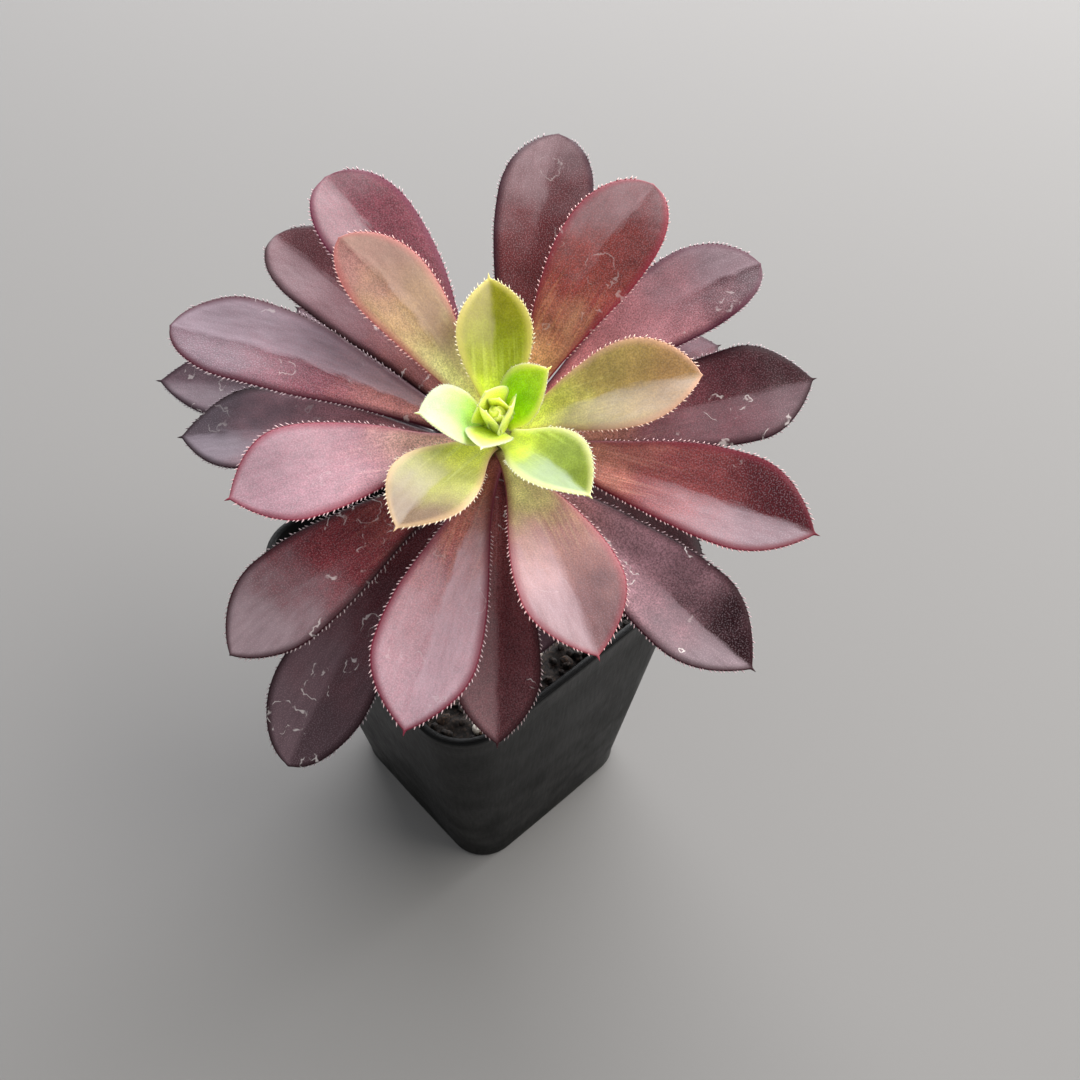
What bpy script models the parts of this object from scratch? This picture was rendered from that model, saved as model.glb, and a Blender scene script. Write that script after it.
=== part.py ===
"""A young dark aeonium in a small square nursery pot, at real size.

One rosette of spoon-shaped leaves stands on a short stem that leans as it grows.
The stem stands in a hole in the potting mix, and the mix fills a thin black pot.
Every large leaf is an object of its own. The small leaves at the heart are one growing tip.
Units are metres and +Z is up. The pot's sides lie along X and Y, and its base is at z = 0.
"""

import math
from collections import namedtuple

import bmesh
import bpy
from mathutils import Matrix, Vector, geometry, noise

MM = 0.001
GAP = 0.3 * MM

# Pot: a thin-walled square pot with rounded corners, 7 cm across the rim.
POT_HEIGHT = 80 * MM
RIM_SIDE = 70 * MM
RIM_DEPTH = 2.6 * MM
RIM_LIP = 0.7 * MM
BASE_SIDE = 50 * MM
CORNER_RADIUS = 10 * MM
POT_WALL = 0.9 * MM
POT_FLOOR = 1.2 * MM
CORNER_STEPS = 6
DRAIN_RADIUS = 3.5 * MM
DRAIN_OFFSET = 15 * MM
DRAIN_SIDES = 16
DRAIN_CUT_DEPTH = 4 * POT_FLOOR

# Potting mix: its surface is a little below the rim, heaped round the stem and full of crumbs.
SOIL_LEVEL = 73 * MM
SOIL_HEAP = 1.5 * MM
SOIL_HEAP_FALL = 2
SOIL_CRUMB = 1.3 * MM
SOIL_CRUMB_SIZE = 2.3 * MM
SOIL_RINGS = 11
SOIL_SIDE_POINTS = 7
STEM_HOLE_DEPTH = 22 * MM

# Stem: it stands upright in the mix, bends over to the side the rosette leans to, and ends in a
# straight neck under the crown. It swells downwards. The bend's reach is a share of its span.
STEM_FOOT = (-6 * MM, 12.5 * MM)
STEM_TIP_RADIUS = 2.4 * MM
STEM_FOOT_RADIUS = 4.8 * MM
STEM_FULL_AT = 45 * MM
STEM_SWELL = 0.7
STEM_BEND_FROM = 3 * MM
STEM_NECK = 29 * MM
STEM_BEND_REACH = 0.385
STEM_SIDES = 14
STEM_STEPS = 30
STEM_SHOULDER = 2.8 * MM
SCAR_RELIEF = 0.22 * MM
SCAR_SPACING = 2.6 * MM
SCARS_FROM = 30 * MM
SCARS_FADE = 4 * MM

# Rosette: its own x axis points at ROSETTE_HEADING in plan, and it leans towards its own -y.
CROWN = (6.3 * MM, 1.5 * MM, 123 * MM)
ROSETTE_HEADING = math.radians(48)
ROSETTE_LEAN = math.radians(24)

# Leaves are numbered from the youngest outwards, each a golden angle on from the last.
GOLDEN_ANGLE = 137.508
FIRST_ANGLE = 126.5
LEAF_STEP = 0.72 * MM
BUD_AGES = range(-4, 4)
LEAF_AGES = (*range(4, 23), 24, 25, 27, 28, 29, 30, 37)
CORE_MARGIN = 0.2 * MM
CORE_HEIGHT = 1.1
SMALL_LEAF_ROOT = 1.0 * MM

# How a leaf's size, outline and pose change with its age. The smallest at the heart are broad at
# the root and stand up. The oldest have a narrow stalk and droop.
Leaf = namedtuple("Leaf", "length width root_width widest_at root_pitch tip_pitch thickness")
GROWTH = {
    # age: millimetres, millimetres, millimetres, share of length, degrees, degrees, millimetres
    -4: Leaf(3.4, 2.8, 2.0, 0.50, 84, 88, 0.9),
    0: Leaf(7.5, 6.5, 4.0, 0.50, 74, 70, 1.0),
    1: Leaf(11, 8.5, 4.5, 0.52, 64, 44, 1.1),
    3: Leaf(16, 12.5, 5.0, 0.55, 54, 28, 1.2),
    5: Leaf(25, 15, 4.4, 0.61, 46, 14, 1.4),
    7: Leaf(36.5, 16.5, 4.2, 0.68, 40, 8, 1.8),
    9: Leaf(47, 18, 4.2, 0.74, 35, 4, 2.0),
    12: Leaf(54, 18.5, 4.2, 0.76, 29, 2, 2.1),
    16: Leaf(59, 18.5, 4.2, 0.76, 21, -3, 2.2),
    22: Leaf(58.5, 18.5, 4.2, 0.76, 10, -9, 2.2),
    28: Leaf(57, 19, 4.2, 0.76, 2, -15, 2.0),
    37: Leaf(64, 17.5, 4.2, 0.76, 6, -6, 1.8),
}

# Each leaf's own turn off the rule, in degrees, its own length beyond the rule, in millimetres, and
# its own width beyond the rule, in millimetres.
TURN = {
    1: -4, 2: -6, 3: 6, 4: -4, 5: -1, 6: 1, 7: -1, 8: -15, 9: 7, 10: -5, 12: 0.5, 13: 10, 14: 3,
    15: 4, 16: -5, 17: 11, 18: -2, 19: 1, 20: 15.5, 21: 1, 22: -2, 24: -11, 27: -3.5, 28: 14,
    29: -14, 30: -12, 37: -10,
}
STRETCH = {
    2: 1, 4: 5, 6: -3, 8: 1, 10: 2, 11: -4, 12: 4, 13: 1, 14: -1, 15: -1, 16: 3, 17: 1, 18: 3,
    19: 1, 21: 2, 22: -6, 24: 2, 25: -14, 27: 11, 28: -8, 29: -5, 30: -23, 37: 6,
}
WIDEN = {8: -2, 27: 1}
# Fold along the middle, in degrees, of the leaves that close up more than their neighbours.
FOLD = {4: 20, 5: 28, 6: 16, 7: 18, 12: 20, 17: 18, 22: 34, 30: 24}
USUAL_FOLD = 14
# A blade levels itself: it rolls back part of the rosette's lean. Some leaves have their own roll.
LEVELLING = 0.55
ROLL = {7: 0, 11: 6, 12: -5, 17: -6, 19: 4, 20: 10}
ROLL_DONE_AT = 0.5
# It also sags: its outer part swings towards the side the rosette leans to. Some have their own swing.
SAG = 10
SWING = {
    5: 8, 8: 14, 11: 8, 12: 0, 13: 10, 15: -16, 16: 8, 17: 6, 18: 0, 19: 9, 20: 8, 27: 16, 37: 18,
}
CENTRE_STEPS = 60

# Leaf outline and section.
BLADE_SWELL = 3.0
TIP_CURVE = 2.0
TIP_TAPER = 0.95
TOP_SHARE = 0.35
LEFT_WALL = 2
RIGHT_WALL = 5
EDGE_THICKNESS = 0.7 * MM
TEETH_FROM = 0.3
TEETH_TO = 0.9
NEAR_TIP = (0.955, 0.99)
TOOTH_SPACING = 4.2 * MM
TOOTH_BASE = 1.2 * MM
TOOTH_BASE_SHARE = 0.08
TOOTH_LENGTH = 0.9 * MM
TOOTH_LENGTH_SHARE = 0.035
TOOTH_OUTWARD = 0.9
TOOTH_FORWARD = 0.45
POINT_LENGTH = 1.0 * MM
POINT_LENGTH_SHARE = 0.05


def clear_scene():
    """Remove every object, so that the part is alone in the file."""
    for old in list(bpy.data.objects):
        bpy.data.objects.remove(old, do_unlink=True)


def material(name, colour, roughness):
    """A Principled material with one colour (linear RGB) and one roughness."""
    made = bpy.data.materials.new(name)
    made.use_nodes = True
    shader = made.node_tree.nodes["Principled BSDF"]
    shader.inputs["Base Color"].default_value = (*colour, 1)
    shader.inputs["Roughness"].default_value = roughness
    return made


def new_object(name, bm, finish, parent=None, smooth_angle=40):
    """Turn a bmesh into a named object with one material, smooth except at sharp edges."""
    bmesh.ops.recalc_face_normals(bm, faces=bm.faces)
    mesh = bpy.data.meshes.new(name)
    bm.to_mesh(mesh)
    bm.free()
    mesh.materials.append(finish)
    mesh.shade_smooth()
    mesh.set_sharp_from_angle(angle=math.radians(smooth_angle))
    made = bpy.data.objects.new(name, mesh)
    bpy.context.scene.collection.objects.link(made)
    made.parent = parent
    return made


def loft(bm, rings):
    """Skin a stack of rings that have the same number of points, and cap both ends.

    Returns the faces of each span between two rings, and the face that caps the last ring.
    """
    loops = [[bm.verts.new(point) for point in ring] for ring in rings]
    spans = []
    for lower, upper in zip(loops, loops[1:]):
        corners = zip(lower, lower[1:] + lower[:1], upper[1:] + upper[:1], upper)
        spans.append([bm.faces.new(quad) for quad in corners])
    bm.faces.new(reversed(loops[0]))
    return spans, bm.faces.new(loops[-1])


def rounded_square(side, radius, z, side_points=0):
    """Points round a square with rounded corners, counter-clockwise from the corner at +X +Y.

    Each corner is an arc, and each straight side can have points of its own after it.
    """
    inset = side / 2 - radius
    points = []
    for corner in range(4):
        turn = Matrix.Rotation(corner * math.pi / 2, 3, "Z")
        for step in range(CORNER_STEPS + 1):
            angle = step / CORNER_STEPS * math.pi / 2
            arc_point = Vector((inset + radius * math.cos(angle), inset + radius * math.sin(angle), z))
            points.append(turn @ arc_point)
        for step in range(side_points):
            x = inset - 2 * inset * (step + 1) / (side_points + 1)
            points.append(turn @ Vector((x, side / 2, z)))
    return points


def pot_side(z):
    """Outer width of the pot's wall at height z, without the lip."""
    return BASE_SIDE + (RIM_SIDE - 2 * RIM_LIP - BASE_SIDE) * z / POT_HEIGHT


def make_pot():
    """Thin tapered wall, floor and lip in one closed shell, with four drainage holes."""
    lip_foot = POT_HEIGHT - RIM_DEPTH
    outer = [(0, BASE_SIDE, CORNER_RADIUS)]
    outer.append((lip_foot, pot_side(lip_foot), CORNER_RADIUS))
    outer.append((lip_foot, pot_side(lip_foot) + 2 * RIM_LIP, CORNER_RADIUS + RIM_LIP))
    outer.append((POT_HEIGHT, RIM_SIDE, CORNER_RADIUS + RIM_LIP))
    inner_radius = CORNER_RADIUS - POT_WALL
    inner = [(POT_HEIGHT, pot_side(POT_HEIGHT) - 2 * POT_WALL, inner_radius)]
    inner.append((POT_FLOOR, pot_side(POT_FLOOR) - 2 * POT_WALL, inner_radius))
    bm = bmesh.new()
    rings = [rounded_square(side, radius, z) for z, side, radius in outer + inner]
    loft(bm, rings)
    pot = new_object("pot", bm, material("pot_plastic", (0.012, 0.012, 0.013), 0.42))
    cut_drain_holes(pot)
    return pot


def cut_drain_holes(pot):
    """Cut four round drainage holes near the floor's corners. The floor's centre stays whole."""
    bm = bmesh.new()
    for x in (-DRAIN_OFFSET, DRAIN_OFFSET):
        for y in (-DRAIN_OFFSET, DRAIN_OFFSET):
            hole = bmesh.ops.create_cone(
                bm, cap_ends=True, segments=DRAIN_SIDES,
                radius1=DRAIN_RADIUS, radius2=DRAIN_RADIUS, depth=DRAIN_CUT_DEPTH,
            )
            bmesh.ops.translate(bm, verts=hole["verts"], vec=(x, y, 0))
    cutter = new_object("drain_cutter", bm, pot.data.materials[0])
    cutter.hide_render = True
    cutter.display_type = "WIRE"
    cut = pot.modifiers.new("drain_holes", "BOOLEAN")
    cut.operation = "DIFFERENCE"
    cut.object = cutter
    apply_modifiers(pot)
    bpy.data.objects.remove(cutter, do_unlink=True)


def apply_modifiers(target):
    """Replace the object's mesh by its evaluated one, and drop its modifiers."""
    shape = target.evaluated_get(bpy.context.evaluated_depsgraph_get())
    target.data = bpy.data.meshes.new_from_object(shape)
    target.data.name = target.name
    target.modifiers.clear()


def stem_route():
    """Centre line of the stem, from its foot in the mix up to its tip under the growing tip."""
    axis = rosette_axis()
    crown = Vector(CROWN)
    tip = crown - axis * STEM_SHOULDER
    neck = crown - axis * STEM_NECK
    ground = Vector((*STEM_FOOT, SOIL_LEVEL - STEM_BEND_FROM))
    foot = Vector((*STEM_FOOT, SOIL_LEVEL - STEM_HOLE_DEPTH + GAP))
    reach = (neck - ground).length * STEM_BEND_REACH
    up = Vector((0, 0, 1))
    bend = geometry.interpolate_bezier(
        ground, ground + up * reach, neck - axis * reach, neck, STEM_STEPS // 2
    )
    straight_steps = STEM_STEPS // 2
    straight = [neck.lerp(tip, (step + 1) / straight_steps) for step in range(straight_steps)]
    return [foot, *bend, *straight]


def rosette_axis():
    """Unit vector along the rosette's axis, in world space."""
    lean = math.sin(ROSETTE_LEAN)
    heading = ROSETTE_HEADING - math.pi / 2
    return Vector((lean * math.cos(heading), lean * math.sin(heading), math.cos(ROSETTE_LEAN)))


def stem_radius(drop):
    """Radius of the stem at this distance below the crown."""
    share = min(max(drop / STEM_FULL_AT, 0), 1)
    return STEM_TIP_RADIUS + (STEM_FOOT_RADIUS - STEM_TIP_RADIUS) * share ** STEM_SWELL


def make_stem():
    """A thick short stem. Rings of old leaf scars stand out of its bare lower part."""
    route = stem_route()
    travelled = [0.0]
    for a, b in zip(route, route[1:]):
        travelled.append(travelled[-1] + (b - a).length)
    bm = bmesh.new()
    rings = []
    for index, (point, along) in enumerate(zip(route, travelled)):
        ahead = route[min(index + 1, len(route) - 1)]
        behind = route[max(index - 1, 0)]
        turn = (ahead - behind).normalized().to_track_quat("Z", "Y")
        drop = travelled[-1] - along + STEM_SHOULDER
        bare = min(max((drop - SCARS_FROM) / SCARS_FADE, 0), 1)
        ring = []
        for side in range(STEM_SIDES):
            angle = side / STEM_SIDES * math.tau
            scar = math.sin(math.tau * drop / SCAR_SPACING + 2 * angle)
            radius = stem_radius(drop) + bare * SCAR_RELIEF * (scar - 1)
            ring.append(point + turn @ Vector((radius * math.cos(angle), radius * math.sin(angle), 0)))
        rings.append(ring)
    loft(bm, rings)
    return new_object("stem", bm, material("stem_bark", (0.16, 0.10, 0.065), 0.8), smooth_angle=60)


def hole_ring(radius, z, outer_ring):
    """Points evenly round the stem's hole, one for each point of the ring round it."""
    first = outer_ring[0]
    start = math.atan2(first.y - STEM_FOOT[1], first.x - STEM_FOOT[0])
    points = []
    for index in range(len(outer_ring)):
        angle = start + index / len(outer_ring) * math.tau
        x = STEM_FOOT[0] + radius * math.cos(angle)
        y = STEM_FOOT[1] + radius * math.sin(angle)
        points.append(Vector((x, y, z)))
    return points


def make_soil():
    """The block of potting mix, with a crumbly top and a plain hole for the stem."""
    inner_radius = CORNER_RADIUS - POT_WALL - GAP
    clearance = 2 * (POT_WALL + GAP)
    bottom = POT_FLOOR + GAP
    low_side = pot_side(bottom) - clearance
    top_side = pot_side(SOIL_LEVEL) - clearance
    top_ring = rounded_square(top_side, inner_radius, SOIL_LEVEL, SOIL_SIDE_POINTS)
    hole_radius = STEM_FOOT_RADIUS + GAP
    mouth = hole_ring(hole_radius, SOIL_LEVEL, top_ring)
    rings = [rounded_square(low_side, inner_radius, bottom, SOIL_SIDE_POINTS), top_ring]
    for ring in range(1, SOIL_RINGS + 1):
        share = ring / SOIL_RINGS
        rings.append([soil_point(outer.lerp(inner, share)) for outer, inner in zip(top_ring, mouth)])
    rings.append(hole_ring(hole_radius, SOIL_LEVEL - STEM_HOLE_DEPTH, top_ring))
    bm = bmesh.new()
    loft(bm, rings)
    return new_object("soil", bm, material("potting_mix", (0.035, 0.026, 0.02), 0.95), smooth_angle=20)


def soil_height(x, y):
    """Height of the mix: level at the wall, heaped at the stem, with crumbs all over."""
    reach = math.hypot(x - STEM_FOOT[0], y - STEM_FOOT[1]) / (RIM_SIDE / 2)
    heap = SOIL_HEAP * math.exp(-SOIL_HEAP_FALL * reach * reach)
    crumb = SOIL_CRUMB * noise.noise(Vector((x, y, 0)) / SOIL_CRUMB_SIZE)
    return SOIL_LEVEL + heap + crumb


def soil_point(point):
    """Lift a point of the flat plan to the mix's surface."""
    return Vector((point.x, point.y, soil_height(point.x, point.y)))


def folded_width(age):
    """How much narrower a blade is across when it folds up more than usual: a ratio of cosines."""
    return math.cos(math.radians(FOLD.get(age, USUAL_FOLD))) / math.cos(math.radians(USUAL_FOLD))


def grown(age):
    """A leaf's measures at this age, in metres and radians.

    They are read between the two nearest ages of GROWTH, and then get the leaf's own differences.
    """
    ages = sorted(GROWTH)
    later = next((known for known in ages if known >= age), ages[-1])
    earlier = max((known for known in ages if known <= age), default=ages[0])
    share = (age - earlier) / (later - earlier) if later > earlier else 0
    between = Leaf(*(a * (1 - share) + b * share for a, b in zip(GROWTH[earlier], GROWTH[later])))
    return between._replace(
        length=(between.length + STRETCH.get(age, 0)) * MM,
        width=(between.width + WIDEN.get(age, 0)) * folded_width(age) * MM,
        root_width=between.root_width * MM,
        root_pitch=math.radians(between.root_pitch),
        tip_pitch=math.radians(between.tip_pitch),
        thickness=between.thickness * MM,
    )


def half_width(leaf, share):
    """Half the leaf's width at this share of its length: narrow root, full blade, pointed tip."""
    rise = math.sin(min(share / leaf.widest_at, 1) * math.pi / 2) ** (BLADE_SWELL * leaf.widest_at)
    blade = leaf.root_width + (leaf.width - leaf.root_width) * rise
    past = max(share - leaf.widest_at, 0) / (1 - leaf.widest_at)
    return 0.5 * blade * (1 - past ** TIP_CURVE) ** TIP_TAPER


def leaf_stations(length):
    """Shares of the length where a leaf has a ring, and which spans carry a tooth."""
    teeth = max(2, round((TEETH_TO - TEETH_FROM) * length / TOOTH_SPACING))
    half_base = min(TOOTH_BASE / length, TOOTH_BASE_SHARE) / 2
    stations = [0, TEETH_FROM / 2]
    toothed = []
    for tooth in range(teeth):
        middle = TEETH_FROM + (TEETH_TO - TEETH_FROM) * tooth / (teeth - 1)
        toothed.append(len(stations))
        stations += [middle - half_base, middle + half_base]
    return [*stations, *NEAR_TIP], toothed


def centre_line(leaf, sag):
    """Points and directions along a leaf's middle. It starts at the origin, bound for +X.

    Its pitch changes evenly from root to tip, and its heading swings by the sag, mostly near the tip.
    """
    point = Vector((0, 0, 0))
    line = []
    for step in range(CENTRE_STEPS + 1):
        share = step / CENTRE_STEPS
        pitch = leaf.root_pitch + (leaf.tip_pitch - leaf.root_pitch) * share
        heading = sag * (share ** 2 - 1 / 3)
        ahead = Vector((
            math.cos(pitch) * math.cos(heading), math.cos(pitch) * math.sin(heading), math.sin(pitch),
        ))
        line.append((point.copy(), ahead))
        point += ahead * leaf.length / CENTRE_STEPS
    return line


def on_line(line, share):
    """Point and direction at this share of a leaf's middle line."""
    place = share * CENTRE_STEPS
    index = min(int(place), CENTRE_STEPS - 1)
    (point, ahead), (next_point, next_ahead) = line[index], line[index + 1]
    return point.lerp(next_point, place - index), ahead.lerp(next_ahead, place - index).normalized()


def leaf_mesh(age):
    """A spoon-shaped leaf along +X from its root, creased along the middle and toothed at its edges.

    Each ring has six points: two at either edge, and one above and one below the crease. The edge
    walls are the third and the sixth face of a span. The tip is drawn out to a short point.
    """
    leaf = grown(age)
    fold = math.tan(math.radians(FOLD.get(age, USUAL_FOLD)))
    roll = leaf_roll(age)
    line = centre_line(leaf, leaf_sag(age))
    stations, toothed = leaf_stations(leaf.length)
    rings = []
    for share in stations:
        centre, ahead = on_line(line, share)
        rolled = roll * min(share / ROLL_DONE_AT, 1)
        left = Matrix.Rotation(rolled, 3, ahead) @ Vector((-ahead.y, ahead.x, 0)).normalized()
        up = ahead.cross(left)
        across = half_width(leaf, share)
        lift = across * fold
        middle = EDGE_THICKNESS + (leaf.thickness - EDGE_THICKNESS) * (1 - share ** 2)
        half_edge = EDGE_THICKNESS / 2
        heights = (
            (-across, lift - half_edge), (0, -middle * (1 - TOP_SHARE)), (across, lift - half_edge),
            (across, lift + half_edge), (0, middle * TOP_SHARE), (-across, lift + half_edge),
        )
        rings.append([centre + left * side + up * height for side, height in heights])
    bm = bmesh.new()
    spans, end = loft(bm, rings)
    forward = line[-1][1]
    raise_points(bm, [end], forward * min(POINT_LENGTH, POINT_LENGTH_SHARE * leaf.length))
    tooth_length = min(TOOTH_LENGTH, TOOTH_LENGTH_SHARE * leaf.length)
    for side, wall in ((1, LEFT_WALL), (-1, RIGHT_WALL)):
        walls = [spans[index][wall] for index in toothed]
        out_and_forward = Vector((0, side, 0)) * TOOTH_OUTWARD + forward * TOOTH_FORWARD
        raise_points(bm, walls, out_and_forward * tooth_length)
    return bm


def raise_points(bm, faces, offset):
    """Poke the faces and move the new middle vertex of each, which makes a small spike."""
    poked = bmesh.ops.poke(bm, faces=faces)
    bmesh.ops.translate(bm, verts=poked["verts"], vec=offset)


def leaf_placing(age):
    """Where a leaf's root sits in the rosette's own frame, and its turn about the axis."""
    angle = leaf_angle(age)
    drop = LEAF_STEP * age
    leaf = grown(age)
    back_off = leaf.thickness * TOP_SHARE * math.sin(abs(leaf.root_pitch))
    radius = stem_radius(drop) + GAP + back_off
    return Vector((radius * math.cos(angle), radius * math.sin(angle), -drop)), angle


def leaf_angle(age):
    """A leaf's turn about the rosette's axis."""
    return math.radians(FIRST_ANGLE + GOLDEN_ANGLE * age + TURN.get(age, 0))


def leaf_roll(age):
    """Roll of the blade about its own length: the side towards the rosette's lean is raised."""
    if age in ROLL:
        return math.radians(ROLL[age])
    return -LEVELLING * ROSETTE_LEAN * math.cos(leaf_angle(age))


def leaf_sag(age):
    """How far the leaf's tip swings sideways, by rule towards the rosette's lean."""
    return math.radians(SWING.get(age, -SAG * math.cos(leaf_angle(age))))


def leaf_finishes():
    """The four leaf materials, youngest first, each with the oldest age that it is used for."""
    return (
        (6, material("leaf_green", (0.30, 0.40, 0.06), 0.45)),
        (9, material("leaf_olive", (0.24, 0.19, 0.07), 0.48)),
        (16, material("leaf_wine", (0.17, 0.05, 0.055), 0.5)),
        (37, material("leaf_dark", (0.055, 0.018, 0.026), 0.5)),
    )


def make_leaf(number, age, finish, rosette):
    """One large leaf, its root a hair's breadth off the stem."""
    leaf = new_object(f"leaf_{number:02d}", leaf_mesh(age), finish, rosette)
    leaf.location, leaf.rotation_euler.z = leaf_placing(age)
    return leaf


def make_growing_tip(rosette):
    """The smallest leaves and the round core they grow from, fused in one piece."""
    finish = material("growing_tip", (0.46, 0.62, 0.05), 0.45)
    bm = bmesh.new()
    bmesh.ops.create_icosphere(bm, subdivisions=2, radius=STEM_TIP_RADIUS + CORE_MARGIN)
    bmesh.ops.scale(bm, verts=bm.verts, vec=(1, 1, CORE_HEIGHT))
    flat = -STEM_SHOULDER + GAP
    bmesh.ops.bisect_plane(
        bm, geom=bm.verts[:] + bm.edges[:] + bm.faces[:],
        plane_co=(0, 0, flat), plane_no=(0, 0, -1), clear_outer=True,
    )
    bmesh.ops.holes_fill(bm, edges=bm.edges)
    core = new_object("growing_tip", bm, finish, rosette)
    small_leaves = bpy.data.collections.new("small_leaves")
    bpy.context.scene.collection.children.link(small_leaves)
    for age in BUD_AGES:
        leaf = new_object(f"small_leaf_{age}", leaf_mesh(age), finish, rosette)
        angle = leaf_angle(age)
        foot = Vector((math.cos(angle), math.sin(angle), 0)) * SMALL_LEAF_ROOT
        leaf.location = foot - Vector((0, 0, LEAF_STEP * max(age, -1)))
        leaf.rotation_euler.z = angle
        bpy.context.scene.collection.objects.unlink(leaf)
        small_leaves.objects.link(leaf)
    join = core.modifiers.new("fuse_small_leaves", "BOOLEAN")
    join.operation = "UNION"
    join.operand_type = "COLLECTION"
    join.collection = small_leaves
    bpy.context.view_layer.update()
    apply_modifiers(core)
    for leaf in list(small_leaves.objects):
        bpy.data.objects.remove(leaf, do_unlink=True)
    bpy.data.collections.remove(small_leaves)
    return core


def make_rosette():
    """An empty that carries every leaf at the crown's place and lean."""
    rosette = bpy.data.objects.new("rosette", None)
    bpy.context.scene.collection.objects.link(rosette)
    rosette.location = CROWN
    rosette.rotation_euler = (ROSETTE_LEAN, 0, ROSETTE_HEADING)
    return rosette


def main():
    """Build the whole part."""
    clear_scene()
    make_pot()
    make_soil()
    make_stem()
    rosette = make_rosette()
    bpy.context.view_layer.update()
    make_growing_tip(rosette)
    finishes = leaf_finishes()
    for number, age in enumerate(LEAF_AGES, start=1):
        finish = next(made for oldest, made in finishes if age <= oldest)
        make_leaf(number, age, finish, rosette)
    bpy.context.view_layer.update()


main()
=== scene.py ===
# %% [markdown]
# # A potted aeonium
# This lesson dresses a plain model of a young dark aeonium in a square nursery pot. The plain model
# is the frame: it says where every leaf, the stem, the mix and the pot are, and how big they are.
# Each part gets a finer surface here, worked out as arrays of points, and a finish of its own.

# %% Load the frame
import math
from collections import namedtuple

import bmesh
import bpy
import numpy as np
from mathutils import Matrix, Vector


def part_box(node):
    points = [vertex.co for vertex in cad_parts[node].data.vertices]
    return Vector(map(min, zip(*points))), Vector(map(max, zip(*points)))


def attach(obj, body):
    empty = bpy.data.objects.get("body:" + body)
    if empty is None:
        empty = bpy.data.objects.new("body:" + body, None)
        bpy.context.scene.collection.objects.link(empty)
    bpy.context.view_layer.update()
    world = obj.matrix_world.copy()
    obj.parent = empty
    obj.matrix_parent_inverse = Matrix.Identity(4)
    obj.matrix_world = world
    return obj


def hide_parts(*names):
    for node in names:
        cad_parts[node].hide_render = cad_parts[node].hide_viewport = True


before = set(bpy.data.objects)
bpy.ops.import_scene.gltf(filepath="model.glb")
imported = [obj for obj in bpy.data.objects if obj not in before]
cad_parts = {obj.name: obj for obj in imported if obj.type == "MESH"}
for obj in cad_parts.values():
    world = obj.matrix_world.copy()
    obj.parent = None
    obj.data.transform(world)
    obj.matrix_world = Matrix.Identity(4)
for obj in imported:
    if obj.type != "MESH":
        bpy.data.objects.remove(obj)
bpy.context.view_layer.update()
MM = 0.001
scene = bpy.context.scene
print("nodes in the frame:", len(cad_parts))


# %% [markdown]
# ## Colours and nodes
# Hex colours are written the way a screen shows them. Light is added up in linear numbers, so one
# function turns hex into linear. A second small function adds a shader node: its settings are the
# node's own properties, and its inputs are plain values or what earlier nodes gave.

# %% Colour and node helpers
def linear(hex_colour):
    """Turn an sRGB hex colour into linear red, green, blue and alpha, by the sRGB curve."""
    channels = np.array([int(hex_colour[i:i + 2], 16) for i in (1, 3, 5)]) / 255
    low = channels / 12.92
    high = ((channels + 0.055) / 1.055) ** 2.4
    return (*np.where(channels <= 0.04045, low, high).tolist(), 1.0)


def add(tree, kind, inputs, out=0, **settings):
    """Add one node to a tree, set its properties, then fill or link its inputs.

    Returns the output that is asked for, or the node itself where it has none.
    """
    node = tree.nodes.new("ShaderNode" + kind)
    for name, value in settings.items():
        setattr(node, name, value)
    for socket, value in inputs.items():
        if isinstance(value, bpy.types.NodeSocket):
            tree.links.new(value, node.inputs[socket])
        else:
            node.inputs[socket].default_value = value
    return node.outputs[out] if len(node.outputs) else node


def new_material(name):
    """An empty node material. Returns the material and its tree."""
    made = bpy.data.materials.new(name)
    made.use_nodes = True
    made.node_tree.nodes.clear()
    return made, made.node_tree


# The colour sockets of a Mix node by their place in its list, and its settings for colours.
FACTOR, COLOUR_A, COLOUR_B = 0, 6, 7
COLOUR_MIX = {"out": 2, "data_type": "RGBA"}
print("white in linear numbers:", linear("#ffffff"))


# %% [markdown]
# ## Camera
# The plant is seen from above, from the corner of the pot that the rosette leans to, and from so
# near that the pot tapers strongly away below the leaves. The distance and the field of view are
# those of a phone held about a hand's length above the plant.

# %% Camera
VIEW_AZIMUTH = math.radians(47.7)
VIEW_ELEVATION = math.radians(51)
VIEW_DISTANCE = 253 * MM
VIEW_FIELD = math.radians(50)
VIEW_TARGET = Vector((2.7, 15.1, 75)) * MM


def placed(name, data):
    """A new object with this data, linked to the scene."""
    made = bpy.data.objects.new(name, data)
    scene.collection.objects.link(made)
    return made


def towards(azimuth, elevation):
    """Unit vector out from the plant. Azimuth 0 is the -Y side and 90 degrees the +X side."""
    flat = math.cos(elevation)
    return Vector((math.sin(azimuth) * flat, -math.cos(azimuth) * flat, math.sin(elevation)))


def aimed(name, data, out, distance, target):
    """A camera or light that stands this far out from its target and looks back at it."""
    made = placed(name, data)
    made.location = target + out * distance
    made.rotation_euler = out.to_track_quat("Z", "Y").to_euler()
    return made


lens = bpy.data.cameras.new("camera")
lens.angle = VIEW_FIELD
lens.clip_start = 0.01
camera = aimed("camera", lens, towards(VIEW_AZIMUTH, VIEW_ELEVATION), VIEW_DISTANCE, VIEW_TARGET)
scene.camera = camera
print("camera at", [round(value, 3) for value in camera.location])


# %% [markdown]
# ## Studio
# The floor is a plain pale sheet. The light is that of a bright covered sky: one wide soft panel
# stands low behind the plant and lays a grey sheen on the leaves that slope away, a smaller one
# stands higher on the right, and a pale surround lightens what neither reaches.

# %% Floor and light
FLOOR_SIDE = 4.0
SURROUND_LIGHT = 0.7
PANEL_DISTANCE = 1.3
scene.view_settings.view_transform = "Standard"

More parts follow.
